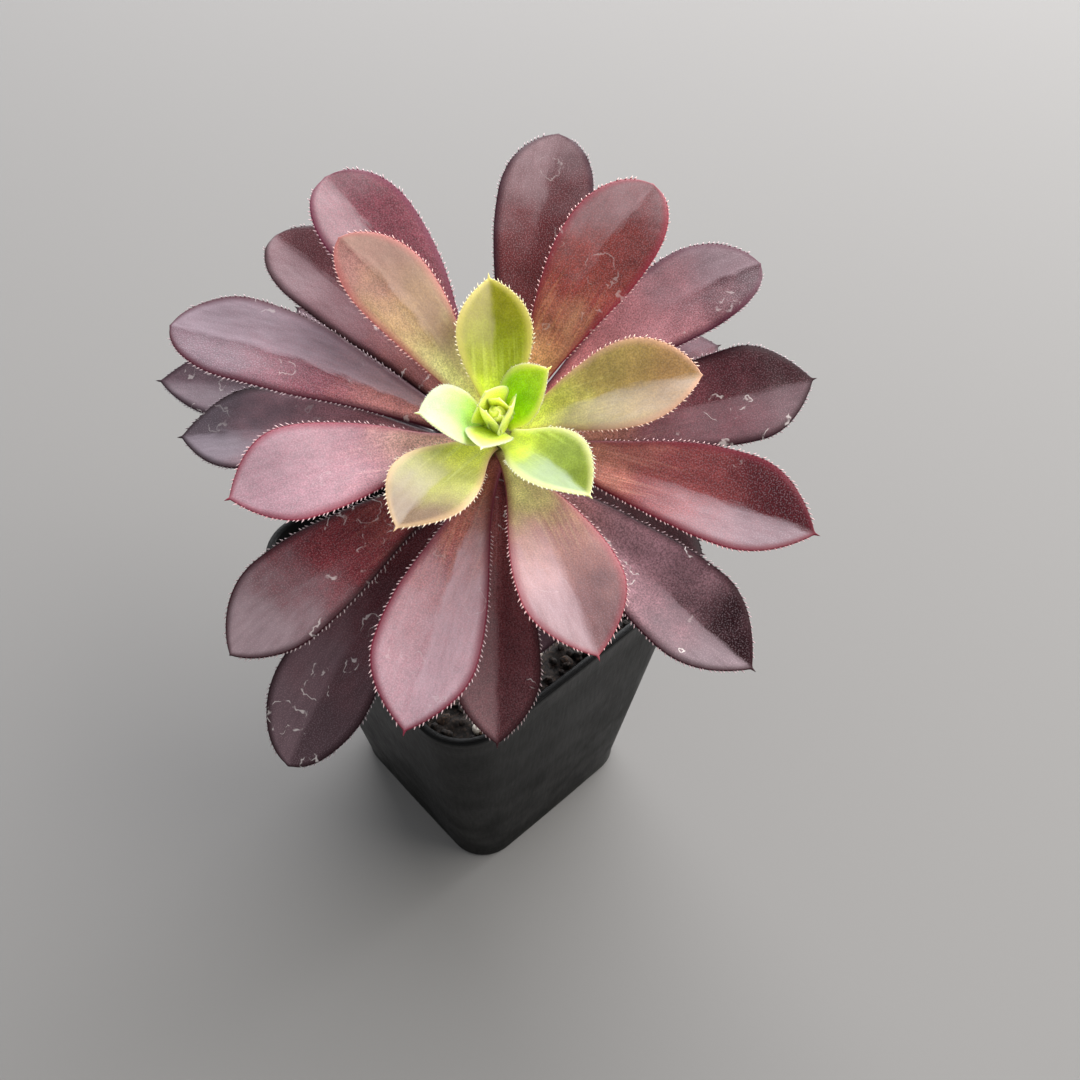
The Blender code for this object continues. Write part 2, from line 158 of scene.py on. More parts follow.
floor_mesh = bpy.data.meshes.new("floor")
half = FLOOR_SIDE / 2
corners = [(-half, -half, 0), (half, -half, 0), (half, half, 0), (-half, half, 0)]
floor_mesh.from_pydata(corners, [], [(0, 1, 2, 3)])
floor = placed("floor", floor_mesh)
floor_paper, tree = new_material("matt_paper_floor")
paper = add(tree, "BsdfPrincipled", {"Base Color": linear("#757371"), "Roughness": 0.95})
add(tree, "OutputMaterial", {"Surface": paper})
floor_mesh.materials.append(floor_paper)

surround = bpy.data.worlds.new("surround")
surround.use_nodes = True
background = surround.node_tree.nodes["Background"]
background.inputs["Color"].default_value = linear("#eef2f6")
background.inputs["Strength"].default_value = SURROUND_LIGHT
scene.world = surround


def panel(name, azimuth, elevation, width, height, radiance, colour):
    """A soft panel light that looks at the plant and isn't seen by the camera itself.

    A lamp's watts are its radiance times pi times its area.
    """
    data = bpy.data.lights.new(name, "AREA")
    data.shape = "RECTANGLE"
    data.size, data.size_y = width, height
    data.energy = radiance * math.pi * width * height
    data.color = linear(colour)[:3]
    out = towards(math.radians(azimuth), math.radians(elevation))
    made = aimed(name, data, out, PANEL_DISTANCE, Vector((0, 0, 0.1)))
    made.visible_camera = False


panel("back_panel", 212, 28, 2.4, 1.1, 7.5, "#fbfcff")
panel("side_panel", 140, 46, 1.1, 1.1, 5.0, "#fffdf8")


# %% [markdown]
# ## From arrays to a mesh
# Plants could be sculpted from boxes and spheres by hand. Here every new surface is a grid of points
# instead, because a formula can be changed later: rows run along the piece and columns run round it.
# A closed grid joins its last column to its first, and a point at either end closes it like a bag.
# The same few lines turn any such grid into faces, so each piece only has to say where its points
# are. What a finish needs to know of a point, such as how far along the leaf it is, goes with it.

# %% Shapes
# Points, four-sided faces, three-sided faces and named values of the points.
Shape = namedtuple("Shape", "points quads fans values")


def closed_tube(grid, **values):
    """A grid of shape (rows, columns, 3), closed round its columns and by a fan at either end.

    The grid's points come first, then the means of its first and its last row, which close the
    ends. A value is given on the same grid, and an end takes the mean of its row.
    """
    rows, columns = grid.shape[:2]
    row, column = np.meshgrid(np.arange(rows - 1), np.arange(columns), indexing="ij")
    after = (column + 1) % columns
    corners = (row * columns + column, row * columns + after)
    corners += ((row + 1) * columns + after, (row + 1) * columns + column)
    ring = np.arange(columns)
    following = (ring + 1) % columns
    first = np.full(columns, rows * columns)
    last_row = (rows - 1) * columns
    start_fan = np.stack((following, ring, first), axis=-1)
    end_fan = np.stack((last_row + ring, last_row + following, first + 1), axis=-1)
    points = np.vstack((grid.reshape(-1, 3), grid[0].mean(axis=0), grid[-1].mean(axis=0)))
    closed = {name: np.r_[on_grid.ravel(), on_grid[0].mean(), on_grid[-1].mean()]
              for name, on_grid in values.items()}
    return Shape(points, np.stack(corners, axis=-1).reshape(-1, 4),
                 np.vstack((start_fan, end_fan)), closed)


def repeated(faces, count, step):
    """The same faces for a number of copies, whose points follow each other a step apart."""
    return (faces[None] + step * np.arange(count)[:, None, None]).reshape(-1, faces.shape[1])


def joined(shapes):
    """Several shapes as one. The faces of each are counted on from the points before it."""
    starts = np.cumsum([0] + [len(shape.points) for shape in shapes])
    return Shape(
        np.vstack([shape.points for shape in shapes]),
        np.vstack([shape.quads + start for shape, start in zip(shapes, starts)]),
        np.vstack([shape.fans + start for shape, start in zip(shapes, starts)]),
        {name: np.concatenate([shape.values[name] for shape in shapes])
         for name in shapes[0].values},
    )


def mesh_of(name, shape):
    """A Blender mesh of a shape, with its values as point attributes."""
    mesh = bpy.data.meshes.new(name)
    mesh.from_pydata(shape.points.tolist(), [], shape.quads.tolist() + shape.fans.tolist())
    for label, values in shape.values.items():
        kind, field = ("FLOAT_VECTOR", "vector") if values.ndim == 2 else ("FLOAT", "value")
        flat = values.astype(np.float32).ravel()
        mesh.attributes.new(label, kind, "POINT").data.foreach_set(field, flat)
    return mesh


def new_piece(name, shape, finish, smooth_angle=180):
    """Link a shape as a piece that rides with the plant, smooth, and with its faces outwards."""
    mesh = mesh_of(name, shape)
    bm = bmesh.new()
    bm.from_mesh(mesh)
    bmesh.ops.recalc_face_normals(bm, faces=bm.faces)
    bm.to_mesh(mesh)
    bm.free()
    mesh.materials.append(finish)
    mesh.shade_smooth()
    if smooth_angle < 180:
        mesh.set_sharp_from_angle(angle=math.radians(smooth_angle))
    made = placed(name, mesh)
    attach(made, "root")
    return made


# %% Array helpers
def eased(share):
    """Smooth step: 3 s squared less 2 s cubed, with s held between 0 and 1."""
    share = np.clip(share, 0, 1)
    return share * share * (3 - 2 * share)


def unit(vectors):
    """Vectors of length 1: each divided by its own length."""
    return vectors / np.linalg.norm(vectors, axis=-1, keepdims=True)


def travelled(line):
    """Length of a line up to each of its points: the lengths of its steps, added up."""
    return np.r_[0, np.cumsum(np.linalg.norm(np.diff(line, axis=0), axis=1))]


def between(places, known, rows):
    """Rows of x, y, z at some places, blended from the rows at the known ones."""
    return np.stack([np.interp(places, known, rows[:, k]) for k in range(3)], axis=-1)


def turned(points, axis, angle):
    """Points turned about one axis by an angle: a plane rotation of the two other coordinates."""
    first, second = {"X": (1, 2), "Z": (0, 1)}[axis]
    result = np.array(points, dtype=float)
    cosine, sine = np.cos(angle), np.sin(angle)
    result[..., first] = points[..., first] * cosine - points[..., second] * sine
    result[..., second] = points[..., first] * sine + points[..., second] * cosine
    return result


HILL_COUNT = 64
HILL_TABLE = np.random.default_rng(11).uniform(-1, 1, (HILL_COUNT, HILL_COUNT))


def hills(x, y, size):
    """Smooth random hills from -1 to 1: random heights a size apart, joined by smooth steps."""
    across, along = x / size, y / size
    column, row = np.floor(across).astype(int), np.floor(along).astype(int)
    mix_x, mix_y = eased(across - column), eased(along - row)

    def height(right, up):
        """Random height at a corner of the square that each place lies in."""
        return HILL_TABLE[(column + right) % HILL_COUNT, (row + up) % HILL_COUNT]

    near = height(0, 0) * (1 - mix_x) + height(1, 0) * mix_x
    far = height(0, 1) * (1 - mix_x) + height(1, 1) * mix_x
    return near * (1 - mix_y) + far * mix_y


print("a grid of 3 rows and 8 columns has", len(closed_tube(np.zeros((3, 8, 3))).quads), "quads")


# %% [markdown]
# ## Pot
# The pot is thin polypropylene, moulded in one piece: square with rounded corners, a little wider
# at the top, with a narrow lip that stiffens the rim. Its section is one profile of heights and
# widths that runs up the outside, over the rounded rim and down the inside. The profile is carried
# round a rounded square. A box could be hollowed out and bevelled as well, but the profile makes wall,
# lip and rounding in one go, from their real sizes. Round holes in the floor let the water out, and
# they are cut last, with a boolean, because a grid has no place for them.

# %% Pot shape
POT_HEIGHT = 80 * MM
RIM_SIDE = 70 * MM
RIM_DEPTH = 2.6 * MM
RIM_LIP = 0.7 * MM
RIM_ROUND = 0.3 * MM
BASE_SIDE = 50 * MM
BASE_ROUND = 1.0 * MM
CORNER_RADIUS = 10 * MM
POT_WALL = 0.9 * MM
POT_FLOOR = 1.2 * MM
# Steps round a corner and along a side: few for the pot, many for the crumbly mix.
POT_STEPS = (12, 8)
MIX_STEPS = (24, 44)


def pot_side(height):
    """Outer width of the wall at a height: it grows evenly from the base to the rim."""
    return BASE_SIDE + (RIM_SIDE - 2 * RIM_LIP - BASE_SIDE) * height / POT_HEIGHT


def rounded_square(side, radius, height, steps, bow=0.0):
    """Points round a square of each side and corner radius, one row for each height.

    A quarter is an arc and then a straight side. The side's middle may bow out by a share of it.
    """
    side, radius, height = (np.atleast_1d(value)[:, None] for value in (side, radius, height))
    inset = side / 2 - radius
    angle = np.linspace(0, math.pi / 2, steps[0] + 1)
    share = np.arange(1, steps[1]) / steps[1]
    flat_y = side / 2 * (1 + bow * np.sin(math.pi * share))
    x = np.hstack((inset + radius * np.cos(angle), inset * (1 - 2 * share)))
    y = np.hstack((inset + radius * np.sin(angle), flat_y))
    ring_x, ring_y = np.hstack((x, -y, -x, y)), np.hstack((y, x, -y, -x))
    return np.stack((ring_x, ring_y, np.broadcast_to(height, ring_x.shape)), axis=-1)


def pot_profile():
    """Rows of height, width and corner radius: up the outside, over the rim, down the inside."""
    turn = np.linspace(0, math.pi / 2, 5)
    foot_height = BASE_ROUND * (1 - np.cos(turn))
    foot = [(z, pot_side(z) - 2 * BASE_ROUND * (1 - math.sin(a)), CORNER_RADIUS - BASE_ROUND)
            for z, a in zip(foot_height, turn)]
    lip_foot = POT_HEIGHT - RIM_DEPTH
    lip_side = pot_side(lip_foot) + 2 * RIM_LIP
    lip_radius = CORNER_RADIUS + RIM_LIP
    wall = [(z, pot_side(z), CORNER_RADIUS)
            for z in np.linspace(4 * MM, lip_foot - RIM_ROUND, 12)]
    lip = [(lip_foot, pot_side(lip_foot) + RIM_ROUND, CORNER_RADIUS),
           (lip_foot, lip_side - RIM_ROUND, lip_radius),
           (lip_foot + RIM_ROUND, lip_side, lip_radius)]
    rim = [(POT_HEIGHT - RIM_ROUND * (1 - math.sin(a)),
            RIM_SIDE - 2 * RIM_ROUND * (1 - math.cos(a)), lip_radius) for a in turn]
    inner_rim = pot_side(POT_HEIGHT) - 2 * POT_WALL
    inner_radius = CORNER_RADIUS - POT_WALL
    inside = [(POT_HEIGHT, inner_rim + 2 * RIM_ROUND, inner_radius + RIM_ROUND),
              (POT_HEIGHT - RIM_ROUND, inner_rim, inner_radius)]
    inside += [(z, pot_side(z) - 2 * POT_WALL, inner_radius)
               for z in (60 * MM, 30 * MM, POT_FLOOR)]
    return np.array(foot + wall + lip + rim + inside)


heights, widths, radii = pot_profile().T
pot_shape = closed_tube(rounded_square(widths, radii, heights, POT_STEPS, bow=0.004))
print("pot profile rows:", len(heights))


# %% [markdown]
# ## Pot finish
# Black polypropylene takes a soft gloss from the mould. It is never quite black: the surface carries
# a fine orange-peel texture, faint rubbed streaks from stacking and a film of dried splashes and dust
# that gathers low down. The roughness varies with them, which breaks up the reflection of the sky.

# %% Black polypropylene
def black_polypropylene():
    """Moulded black plastic: near-black colour, dust by height and noise, fine moulded texture."""
    made, tree = new_material("black_polypropylene_moulded")
    place = add(tree, "TexCoord", {}, "Object")
    height = add(tree, "SeparateXYZ", {0: place}, "Z")
    # Dust clouds about 9 mm across, thicker in the lowest third.
    cloud = add(tree, "TexNoise", {"Vector": place, "Scale": 1 / (9 * MM), "Detail": 5.0})
    low = add(tree, "MapRange", {0: height, 1: 0.0, 2: 60 * MM, 3: 0.55, 4: 0.12})
    dusty = add(tree, "MapRange", {0: cloud, 1: 0.4, 2: 0.75})
    dust = add(tree, "Math", {0: dusty, 1: low}, operation="MULTIPLY")
    blacks = {FACTOR: dust, COLOUR_A: linear("#060606"), COLOUR_B: linear("#131311")}
    colour = add(tree, "Mix", blacks, **COLOUR_MIX)
    # Rubbed streaks run up the wall: 0.6 mm wide and 20 mm long.
    stretch = (1 / (0.6 * MM), 1 / (0.6 * MM), 1 / (20 * MM))
    stretched = add(tree, "VectorMath", {0: place, 1: stretch}, operation="MULTIPLY")
    rubbed = add(tree, "TexNoise", {"Vector": stretched, "Scale": 1.0})
    rough = add(tree, "MapRange", {0: rubbed, 3: 0.3, 4: 0.48})
    rougher = add(tree, "Math", {0: dust, 1: 0.5, 2: rough}, operation="MULTIPLY_ADD")
    peel = add(tree, "TexNoise", {"Vector": place, "Scale": 1 / (0.7 * MM), "Detail": 2.0})
    bump = add(tree, "Bump", {"Height": peel, "Distance": 0.03 * MM})
    plastic = add(tree, "BsdfPrincipled", {
        "Base Color": colour, "Roughness": rougher, "IOR": 1.49, "Specular IOR Level": 0.12,
        "Normal": bump,
    })
    add(tree, "OutputMaterial", {"Surface": plastic})
    return made


pot = new_piece("nursery_pot", pot_shape, black_polypropylene(), 50)

# %% Drainage holes
DRAIN_RADIUS = 3.5 * MM
DRAIN_OFFSET = 15 * MM
ROD_CORNERS = 32


def drain_cutter():
    """Four upright rods where the drainage holes go, as one mesh to cut with."""
    angle = np.linspace(0, math.tau, ROD_CORNERS, endpoint=False)
    ring = np.stack((np.cos(angle), np.sin(angle)), axis=-1) * DRAIN_RADIUS
    rods = []
    for x in (-DRAIN_OFFSET, DRAIN_OFFSET):
        for y in (-DRAIN_OFFSET, DRAIN_OFFSET):
            levels = [np.column_stack((ring + (x, y), np.full(ROD_CORNERS, z)))
                      for z in (-2 * POT_FLOOR, 2 * POT_FLOOR)]
            rods.append(closed_tube(np.array(levels)))
    return placed("drain_cutter", mesh_of("drain_cutter", joined(rods)))


cutter = drain_cutter()
holes = pot.modifiers.new("drain_holes", "BOOLEAN")
holes.operation = "DIFFERENCE"
holes.object = cutter
bpy.context.view_layer.update()
cut_pot = pot.evaluated_get(bpy.context.evaluated_depsgraph_get())
pot.data = bpy.data.meshes.new_from_object(cut_pot)
pot.data.name = "nursery_pot"
pot.modifiers.clear()
bpy.data.objects.remove(cutter, do_unlink=True)
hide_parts("pot")
print("pot faces:", len(pot.data.polygons))


# %% [markdown]
# ## Potting mix
# The mix is dark peat, opened up with pumice, baked clay granules and bits of bark. Its surface is
# a grid of rings that run in from the pot's wall to the stem, raised by hills of three sizes. A flat
# square grid would be simpler, but rings meet both the square wall and the round stem without a gap.

# %% Potting mix surface
GAP = 0.3 * MM
SOIL_LEVEL = 73 * MM
SOIL_HEAP = 1.5 * MM
SOIL_RINGS = 64
STEM_FOOT = np.array((-6.0, 12.5)) * MM
STEM_HOLE_RADIUS = 5.1 * MM
STEM_HOLE_DEPTH = 8 * MM


def soil_height(x, y):
    """Height of the mix: its level, a heap at the stem that fades outwards, hills and crumbs."""
    reach = np.hypot(x - STEM_FOOT[0], y - STEM_FOOT[1]) / (RIM_SIDE / 2)
    heap = SOIL_HEAP * np.exp(-2 * reach * reach)
    lumps = 0.55 * MM * hills(x, y, 4.2 * MM) + 0.4 * MM * hills(y, x, 1.7 * MM)
    crumbs = 0.25 * MM * hills(x + y, x - y, 0.8 * MM)
    return SOIL_LEVEL + heap + lumps + crumbs


def soil_grid():
    """Rings of the mix: up the wall from the bottom, in over the top, and down round the stem."""
    slack = 2 * (POT_WALL + GAP)
    low, high = POT_FLOOR + GAP, SOIL_LEVEL - 1.5 * MM
    radius = CORNER_RADIUS - POT_WALL - GAP
    sides = np.array((pot_side(low), pot_side(high), pot_side(SOIL_LEVEL))) - slack
    walls = rounded_square(sides[:2], (radius, radius), (low, high), MIX_STEPS)
    brim = rounded_square(sides[2], radius, SOIL_LEVEL, MIX_STEPS)[0]
    start = np.arctan2(brim[0, 1] - STEM_FOOT[1], brim[0, 0] - STEM_FOOT[0])
    angle = start + np.linspace(0, math.tau, len(brim), endpoint=False)
    mouth_x = STEM_FOOT[0] + STEM_HOLE_RADIUS * np.cos(angle)
    mouth_y = STEM_FOOT[1] + STEM_HOLE_RADIUS * np.sin(angle)
    share = np.linspace(0, 1, SOIL_RINGS)[:, None]
    x = brim[:, 0] * (1 - share) + mouth_x * share
    y = brim[:, 1] * (1 - share) + mouth_y * share
    top = np.stack((x, y, soil_height(x, y)), axis=-1)
    hole_floor = np.full_like(mouth_x, SOIL_LEVEL - STEM_HOLE_DEPTH)
    return np.concatenate((walls, top, np.stack((mouth_x, mouth_y, hole_floor), axis=-1)[None]))


soil_shape = closed_tube(soil_grid())
print("mix surface points:", len(soil_shape.points))


# %% [markdown]
# ## Mix finish
# Moist peat is nearly black where it is wet and brown where a crumb has dried. The colour mixes three
# browns by noise of two sizes, with a few pale specks of grit, and the surface is fully matt. Pumice,
# clay and bark are granular in the same way, each with its own colours and grain.

# %% Peat, pumice, clay and bark
def granular(name, dark, middle, pale, grain):
    """A crumbly finish: three colours mixed by noise of one grain size and of four times that."""
    made, tree = new_material(name)
    place = add(tree, "TexCoord", {}, "Object")
    fine = add(tree, "TexNoise", {"Vector": place, "Scale": 1 / grain, "Detail": 6.0})
    wide = add(tree, "TexNoise", {"Vector": place, "Scale": 1 / (4 * grain)})
    colour = linear(dark)
    for noise, low, high, over in ((wide, 0.35, 0.65, middle), (fine, 0.5, 0.75, pale)):
        cover = add(tree, "MapRange", {0: noise, 1: low, 2: high})
        layers = {FACTOR: cover, COLOUR_A: colour, COLOUR_B: linear(over)}
        colour = add(tree, "Mix", layers, **COLOUR_MIX)
    bump = add(tree, "Bump", {"Height": fine, "Distance": 0.2 * MM})
    matt = {"Base Color": colour, "Roughness": 0.9, "Normal": bump}
    add(tree, "OutputMaterial", {"Surface": add(tree, "BsdfPrincipled", matt)})
    return made


peat = granular("moist_peat", "#0f0b09", "#1e1612", "#43342a", 0.9 * MM)
pumice = granular("pumice_open_pored", "#a89e90", "#cfc8bb", "#ece7dd", 0.6 * MM)
baked_clay = granular("baked_clay", "#6c4c34", "#987454", "#c0a484", 0.7 * MM)
bark_chips = granular("composted_bark", "#170f0b", "#2e2018", "#5c422f", 0.6 * MM)
soil = new_piece("potting_mix", soil_shape, peat, 50)
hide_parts("soil")
print("mix finishes:", [finish.name for finish in (peat, pumice, baked_clay, bark_chips)])


# %% [markdown]
# ## Loose grains
# Granules lie on the mix, half sunk in. A particle system could scatter them, but its copies are no
# real faces. So one lumpy ball of a few dozen faces is the pattern of them all: each copy is dented,
# squashed, turned and placed by its own random numbers, in one sweep of arrays.

# %% Loose grains
BALL_ROWS, BALL_COLUMNS = 5, 8


def granules(count, size, flatness, seed):
    """Many lumpy grains on the mix, as one shape.

    A grain's radius is its size times 1 plus a random dent for each point of the ball. Grains keep
    out of the pot's corners and off the stem.
    """
    rng = np.random.default_rng(seed)
    polar = np.linspace(0.12, 0.88, BALL_ROWS)[:, None] * math.pi
    around = np.linspace(0, math.tau, BALL_COLUMNS, endpoint=False)
    ball = np.stack((np.sin(polar) * np.cos(around), np.sin(polar) * np.sin(around),
                     np.broadcast_to(np.cos(polar), (BALL_ROWS, BALL_COLUMNS))), axis=-1)
    pattern = closed_tube(ball)
    dents = 1 + rng.uniform(-0.24, 0.2, (count, len(pattern.points), 1))
    scale = rng.uniform(0.55, 1, (count, 1, 3)) * size / 2
    scale[:, :, 2] *= flatness
    spin = rng.uniform(0, math.tau, count)
    tilt = rng.normal(0, 0.5, count)
    grains = turned(pattern.points * dents * scale, "X", tilt[:, None])
    grains = turned(grains, "Z", spin[:, None])
    half = pot_side(SOIL_LEVEL) / 2 - POT_WALL - size * 0.6
    x, y = rng.uniform(-half, half, (2, count))
    corner = np.maximum(np.abs(x) + np.abs(y) - 2 * half + 0.6 * CORNER_RADIUS, 0) / 2
    x, y = x - np.sign(x) * corner, y - np.sign(y) * corner
    off_stem = np.hypot(x - STEM_FOOT[0], y - STEM_FOOT[1]) > STEM_HOLE_RADIUS + size * 0.3
    z = soil_height(x, y) + scale[:, 0, 2] * 0.35
    lying = (grains + np.stack((x, y, z), axis=-1)[:, None])[off_stem]
    faces = [repeated(part, len(lying), len(pattern.points)) for part in pattern[1:3]]
    return Shape(lying.reshape(-1, 3), *faces, {})


for name, finish, count, size, flatness, seed in (
    ("pumice_grains", pumice, 44, 3.0 * MM, 0.9, 1),
    ("clay_grains", baked_clay, 80, 2.6 * MM, 0.9, 2),
    ("peat_crumbs", peat, 420, 2.2 * MM, 0.8, 3),
    ("bark_bits", bark_chips, 110, 3.6 * MM, 0.4, 4),
):
    grains = granules(count, size, flatness, seed)
    new_piece(name, grains, finish, 70)
    print(name, len(grains.points), "points")


# %% [markdown]
# ## How the plant grows
# An aeonium sets its leaves one after another, each a golden angle on from the last, so no leaf lies
# right above another. Leaves could all be set by hand, but the plant's own rule places them at once
# and leaves little to adjust. They are numbered by age from the heart outwards. A table gives the size
# and pose of a few ages, and the ages between are blended. Each leaf then has small values of its own:
# a turn off its angle, millimetres of length and width, the angle of its fold, a roll and a swing.

# %% Growth rules
CROWN = np.array((6.3, 1.5, 123.0)) * MM
ROSETTE_HEADING = math.radians(48)
ROSETTE_LEAN = math.radians(24)
GOLDEN_ANGLE = 137.508
FIRST_ANGLE = 126.5
LEAF_STEP = 0.72 * MM
BUD_AGES = tuple(range(-4, 1))
YOUNG_AGES = (1, 2, 3)
LEAF_AGES = (*range(4, 23), 24, 25, 27, 28, 29, 30, 37)

Leaf = namedtuple("Leaf", "length width root_width widest_at root_pitch tip_pitch thickness")
# Lengths, widths and thickness are in mm, pitches in degrees, and the widest place is a share of the
# length. TURN, FOLD, ROLL and SWING are in degrees, STRETCH and WIDEN in mm.
GROWTH = {
    -4: Leaf(6.0, 4.8, 3.2, 0.50, 82, 102, 0.5),
    0: Leaf(8.6, 9.0, 5.4, 0.50, 66, 92, 0.8),
    1: Leaf(11, 8.5, 4.5, 0.52, 64, 44, 1.1),
    3: Leaf(16, 12.5, 5.0, 0.55, 54, 28, 1.2),
    5: Leaf(25, 15, 4.4, 0.61, 46, 14, 1.4),
    7: Leaf(36.5, 16.5, 4.2, 0.68, 40, 8, 1.8),
    9: Leaf(47, 18, 4.2, 0.74, 35, 4, 2.0),
    12: Leaf(54, 18.5, 4.2, 0.76, 29, 2, 2.1),
    16: Leaf(59, 18.5, 4.2, 0.76, 21, -3, 2.2),
    22: Leaf(58.5, 18.5, 4.2, 0.76, 10, -9, 2.2),
    28: Leaf(57, 19, 4.2, 0.76, 2, -15, 2.0),
    37: Leaf(64, 17.5, 4.2, 0.76, 6, -6, 1.8),
}
TURN = {
    1: -12, 2: -6, 3: 6, 4: -4, 5: -1, 6: 1, 7: -1, 8: -15, 9: 7, 10: -5, 12: 0.5, 13: 10, 14: 3,
    15: 4, 16: -5, 17: 11, 18: -2, 19: 1, 20: 15.5, 21: 1, 22: -2, 24: -11, 27: -3.5, 28: 14,
    29: -14, 30: -12, 37: -10,
}
STRETCH = {
    2: 1, 4: 5, 6: -3, 8: 1, 10: 2, 11: -4, 12: 4, 13: 1, 14: -1, 15: -1, 16: 3, 17: 1, 18: 3,
    19: 1, 21: 2, 22: -6, 24: 2, 25: -14, 27: 11, 28: -8, 29: -5, 30: -23, 37: 6,
}
WIDEN = {8: -2, 27: 1}
FOLD = {4: 20, 5: 28, 6: 16, 7: 18, 12: 20, 17: 18, 22: 34, 30: 24}
USUAL_FOLD = 14
LEVELLING = 0.55
ROLL = {7: 0, 11: 6, 12: -5, 17: -6, 19: 4, 20: 10}
ROLL_DONE_AT = 0.5
SAG = 10
SWING = {
    5: 8, 8: 14, 11: 8, 12: 0, 13: 10, 15: -16, 16: 8, 17: 6, 18: 0, 19: 9, 20: 8, 27: 16, 37: 18,
}


def folded_width(age):
    """How much narrower a blade is across when it is folded up more than usual: by the cosines."""
    return math.cos(math.radians(FOLD.get(age, USUAL_FOLD))) / math.cos(math.radians(USUAL_FOLD))


def grown(age):
    """A leaf's measures at an age, in metres and radians, blended between the two nearest rows."""
    ages = sorted(GROWTH)
    rows = np.array([GROWTH[known] for known in ages], dtype=float)
    found = Leaf(*(np.interp(age, ages, column) for column in rows.T))
    return found._replace(
        length=(found.length + STRETCH.get(age, 0)) * MM,
        width=(found.width + WIDEN.get(age, 0)) * MM * folded_width(age),
        root_width=found.root_width * MM,
        root_pitch=math.radians(found.root_pitch),
        tip_pitch=math.radians(found.tip_pitch),
        thickness=found.thickness * MM,
    )


def leaf_angle(age):
    """A leaf's turn about the rosette's axis: a golden angle for each age, and its own small turn."""
    return math.radians(FIRST_ANGLE + GOLDEN_ANGLE * age + TURN.get(age, 0))


def leaf_roll(age):
    """Roll of the blade about its length, by rule one that levels it against the rosette's lean."""
    if age in ROLL:
        return math.radians(ROLL[age])
    return -LEVELLING * ROSETTE_LEAN * math.cos(leaf_angle(age))


def leaf_swing(age):
    """How far the leaf's tip swings sideways, by rule towards the rosette's lean."""
    return math.radians(SWING.get(age, -SAG * math.cos(leaf_angle(age))))


def rosette_to_world(points):
    """Points of the rosette's own frame, leaned and then turned, with the crown as their origin."""
    return turned(turned(points, "X", ROSETTE_LEAN), "Z", ROSETTE_HEADING) + CROWN


print("a leaf of age 12 is", round(grown(12).length / MM), "mm long")


# %% [markdown]
# ## Stem
# The stem is short, green-brown under the leaves and corky grey-brown where it is bare. Every leaf
# that has dropped leaves a scar, a flat lens with a raised lower lip, and the scars follow the same
# golden angle as the leaves. The surface is a circle carried along a bending path. A scar could be
# a piece of its own, but as a bump in the radius, by the distance from its middle, it grows out of
# the skin without a seam.

# %% Stem shape
STEM_TIP_RADIUS = 2.4 * MM
STEM_FOOT_RADIUS = 4.8 * MM
STEM_SHOULDER = 2.8 * MM
THICK_AFTER = 45 * MM
STRAIGHT_PART = 29 * MM
STEM_ROWS, STEM_COLUMNS = 260, 72
SCAR_AGES = range(8, 84)
SCAR_HALF_WIDTH = 2.3 * MM
SCAR_HALF_HEIGHT = 0.75 * MM
SCAR_LIP = 0.22 * MM
SCAR_DEPTH = 0.12 * MM
WRINKLE_SIZE = 0.9 * MM
WRINKLE_HEIGHT = 0.06 * MM


def stem_radius(drop):
    """Radius at a distance below the crown: it grows fast at first and is full after 45 mm."""
    share = np.clip(drop / THICK_AFTER, 0, 1)
    return STEM_TIP_RADIUS + (STEM_FOOT_RADIUS - STEM_TIP_RADIUS) * share ** 0.7


def stem_path():
    """Points evenly along the stem, from its foot in the mix up to its tip, directions and drops.

    It rises plumb out of the mix, bends over along a Bezier curve and ends along the rosette's axis.
    """
    axis = rosette_to_world(np.array((0, 0, 1.0))) - CROWN
    neck, tip = CROWN - axis * STRAIGHT_PART, CROWN - axis * STEM_SHOULDER
    ground = np.array((*STEM_FOOT, SOIL_LEVEL - 3 * MM))
    foot = np.array((*STEM_FOOT, SOIL_LEVEL - STEM_HOLE_DEPTH + GAP))
    reach = np.linalg.norm(neck - ground) / 2.6
    t = np.linspace(0, 1, 60)[:, None]
    bend = (1 - t) ** 3 * ground + 3 * (1 - t) ** 2 * t * (ground + (0, 0, reach))
    bend = bend + 3 * (1 - t) * t ** 2 * (neck - axis * reach) + t ** 3 * neck
    rough = np.vstack((foot, bend, tip))
    known = travelled(rough)
    even = np.linspace(0, known[-1], STEM_ROWS)
    path = between(even, known, rough)
    return path, unit(np.gradient(path, axis=0)), even[-1] - even + STEM_SHOULDER


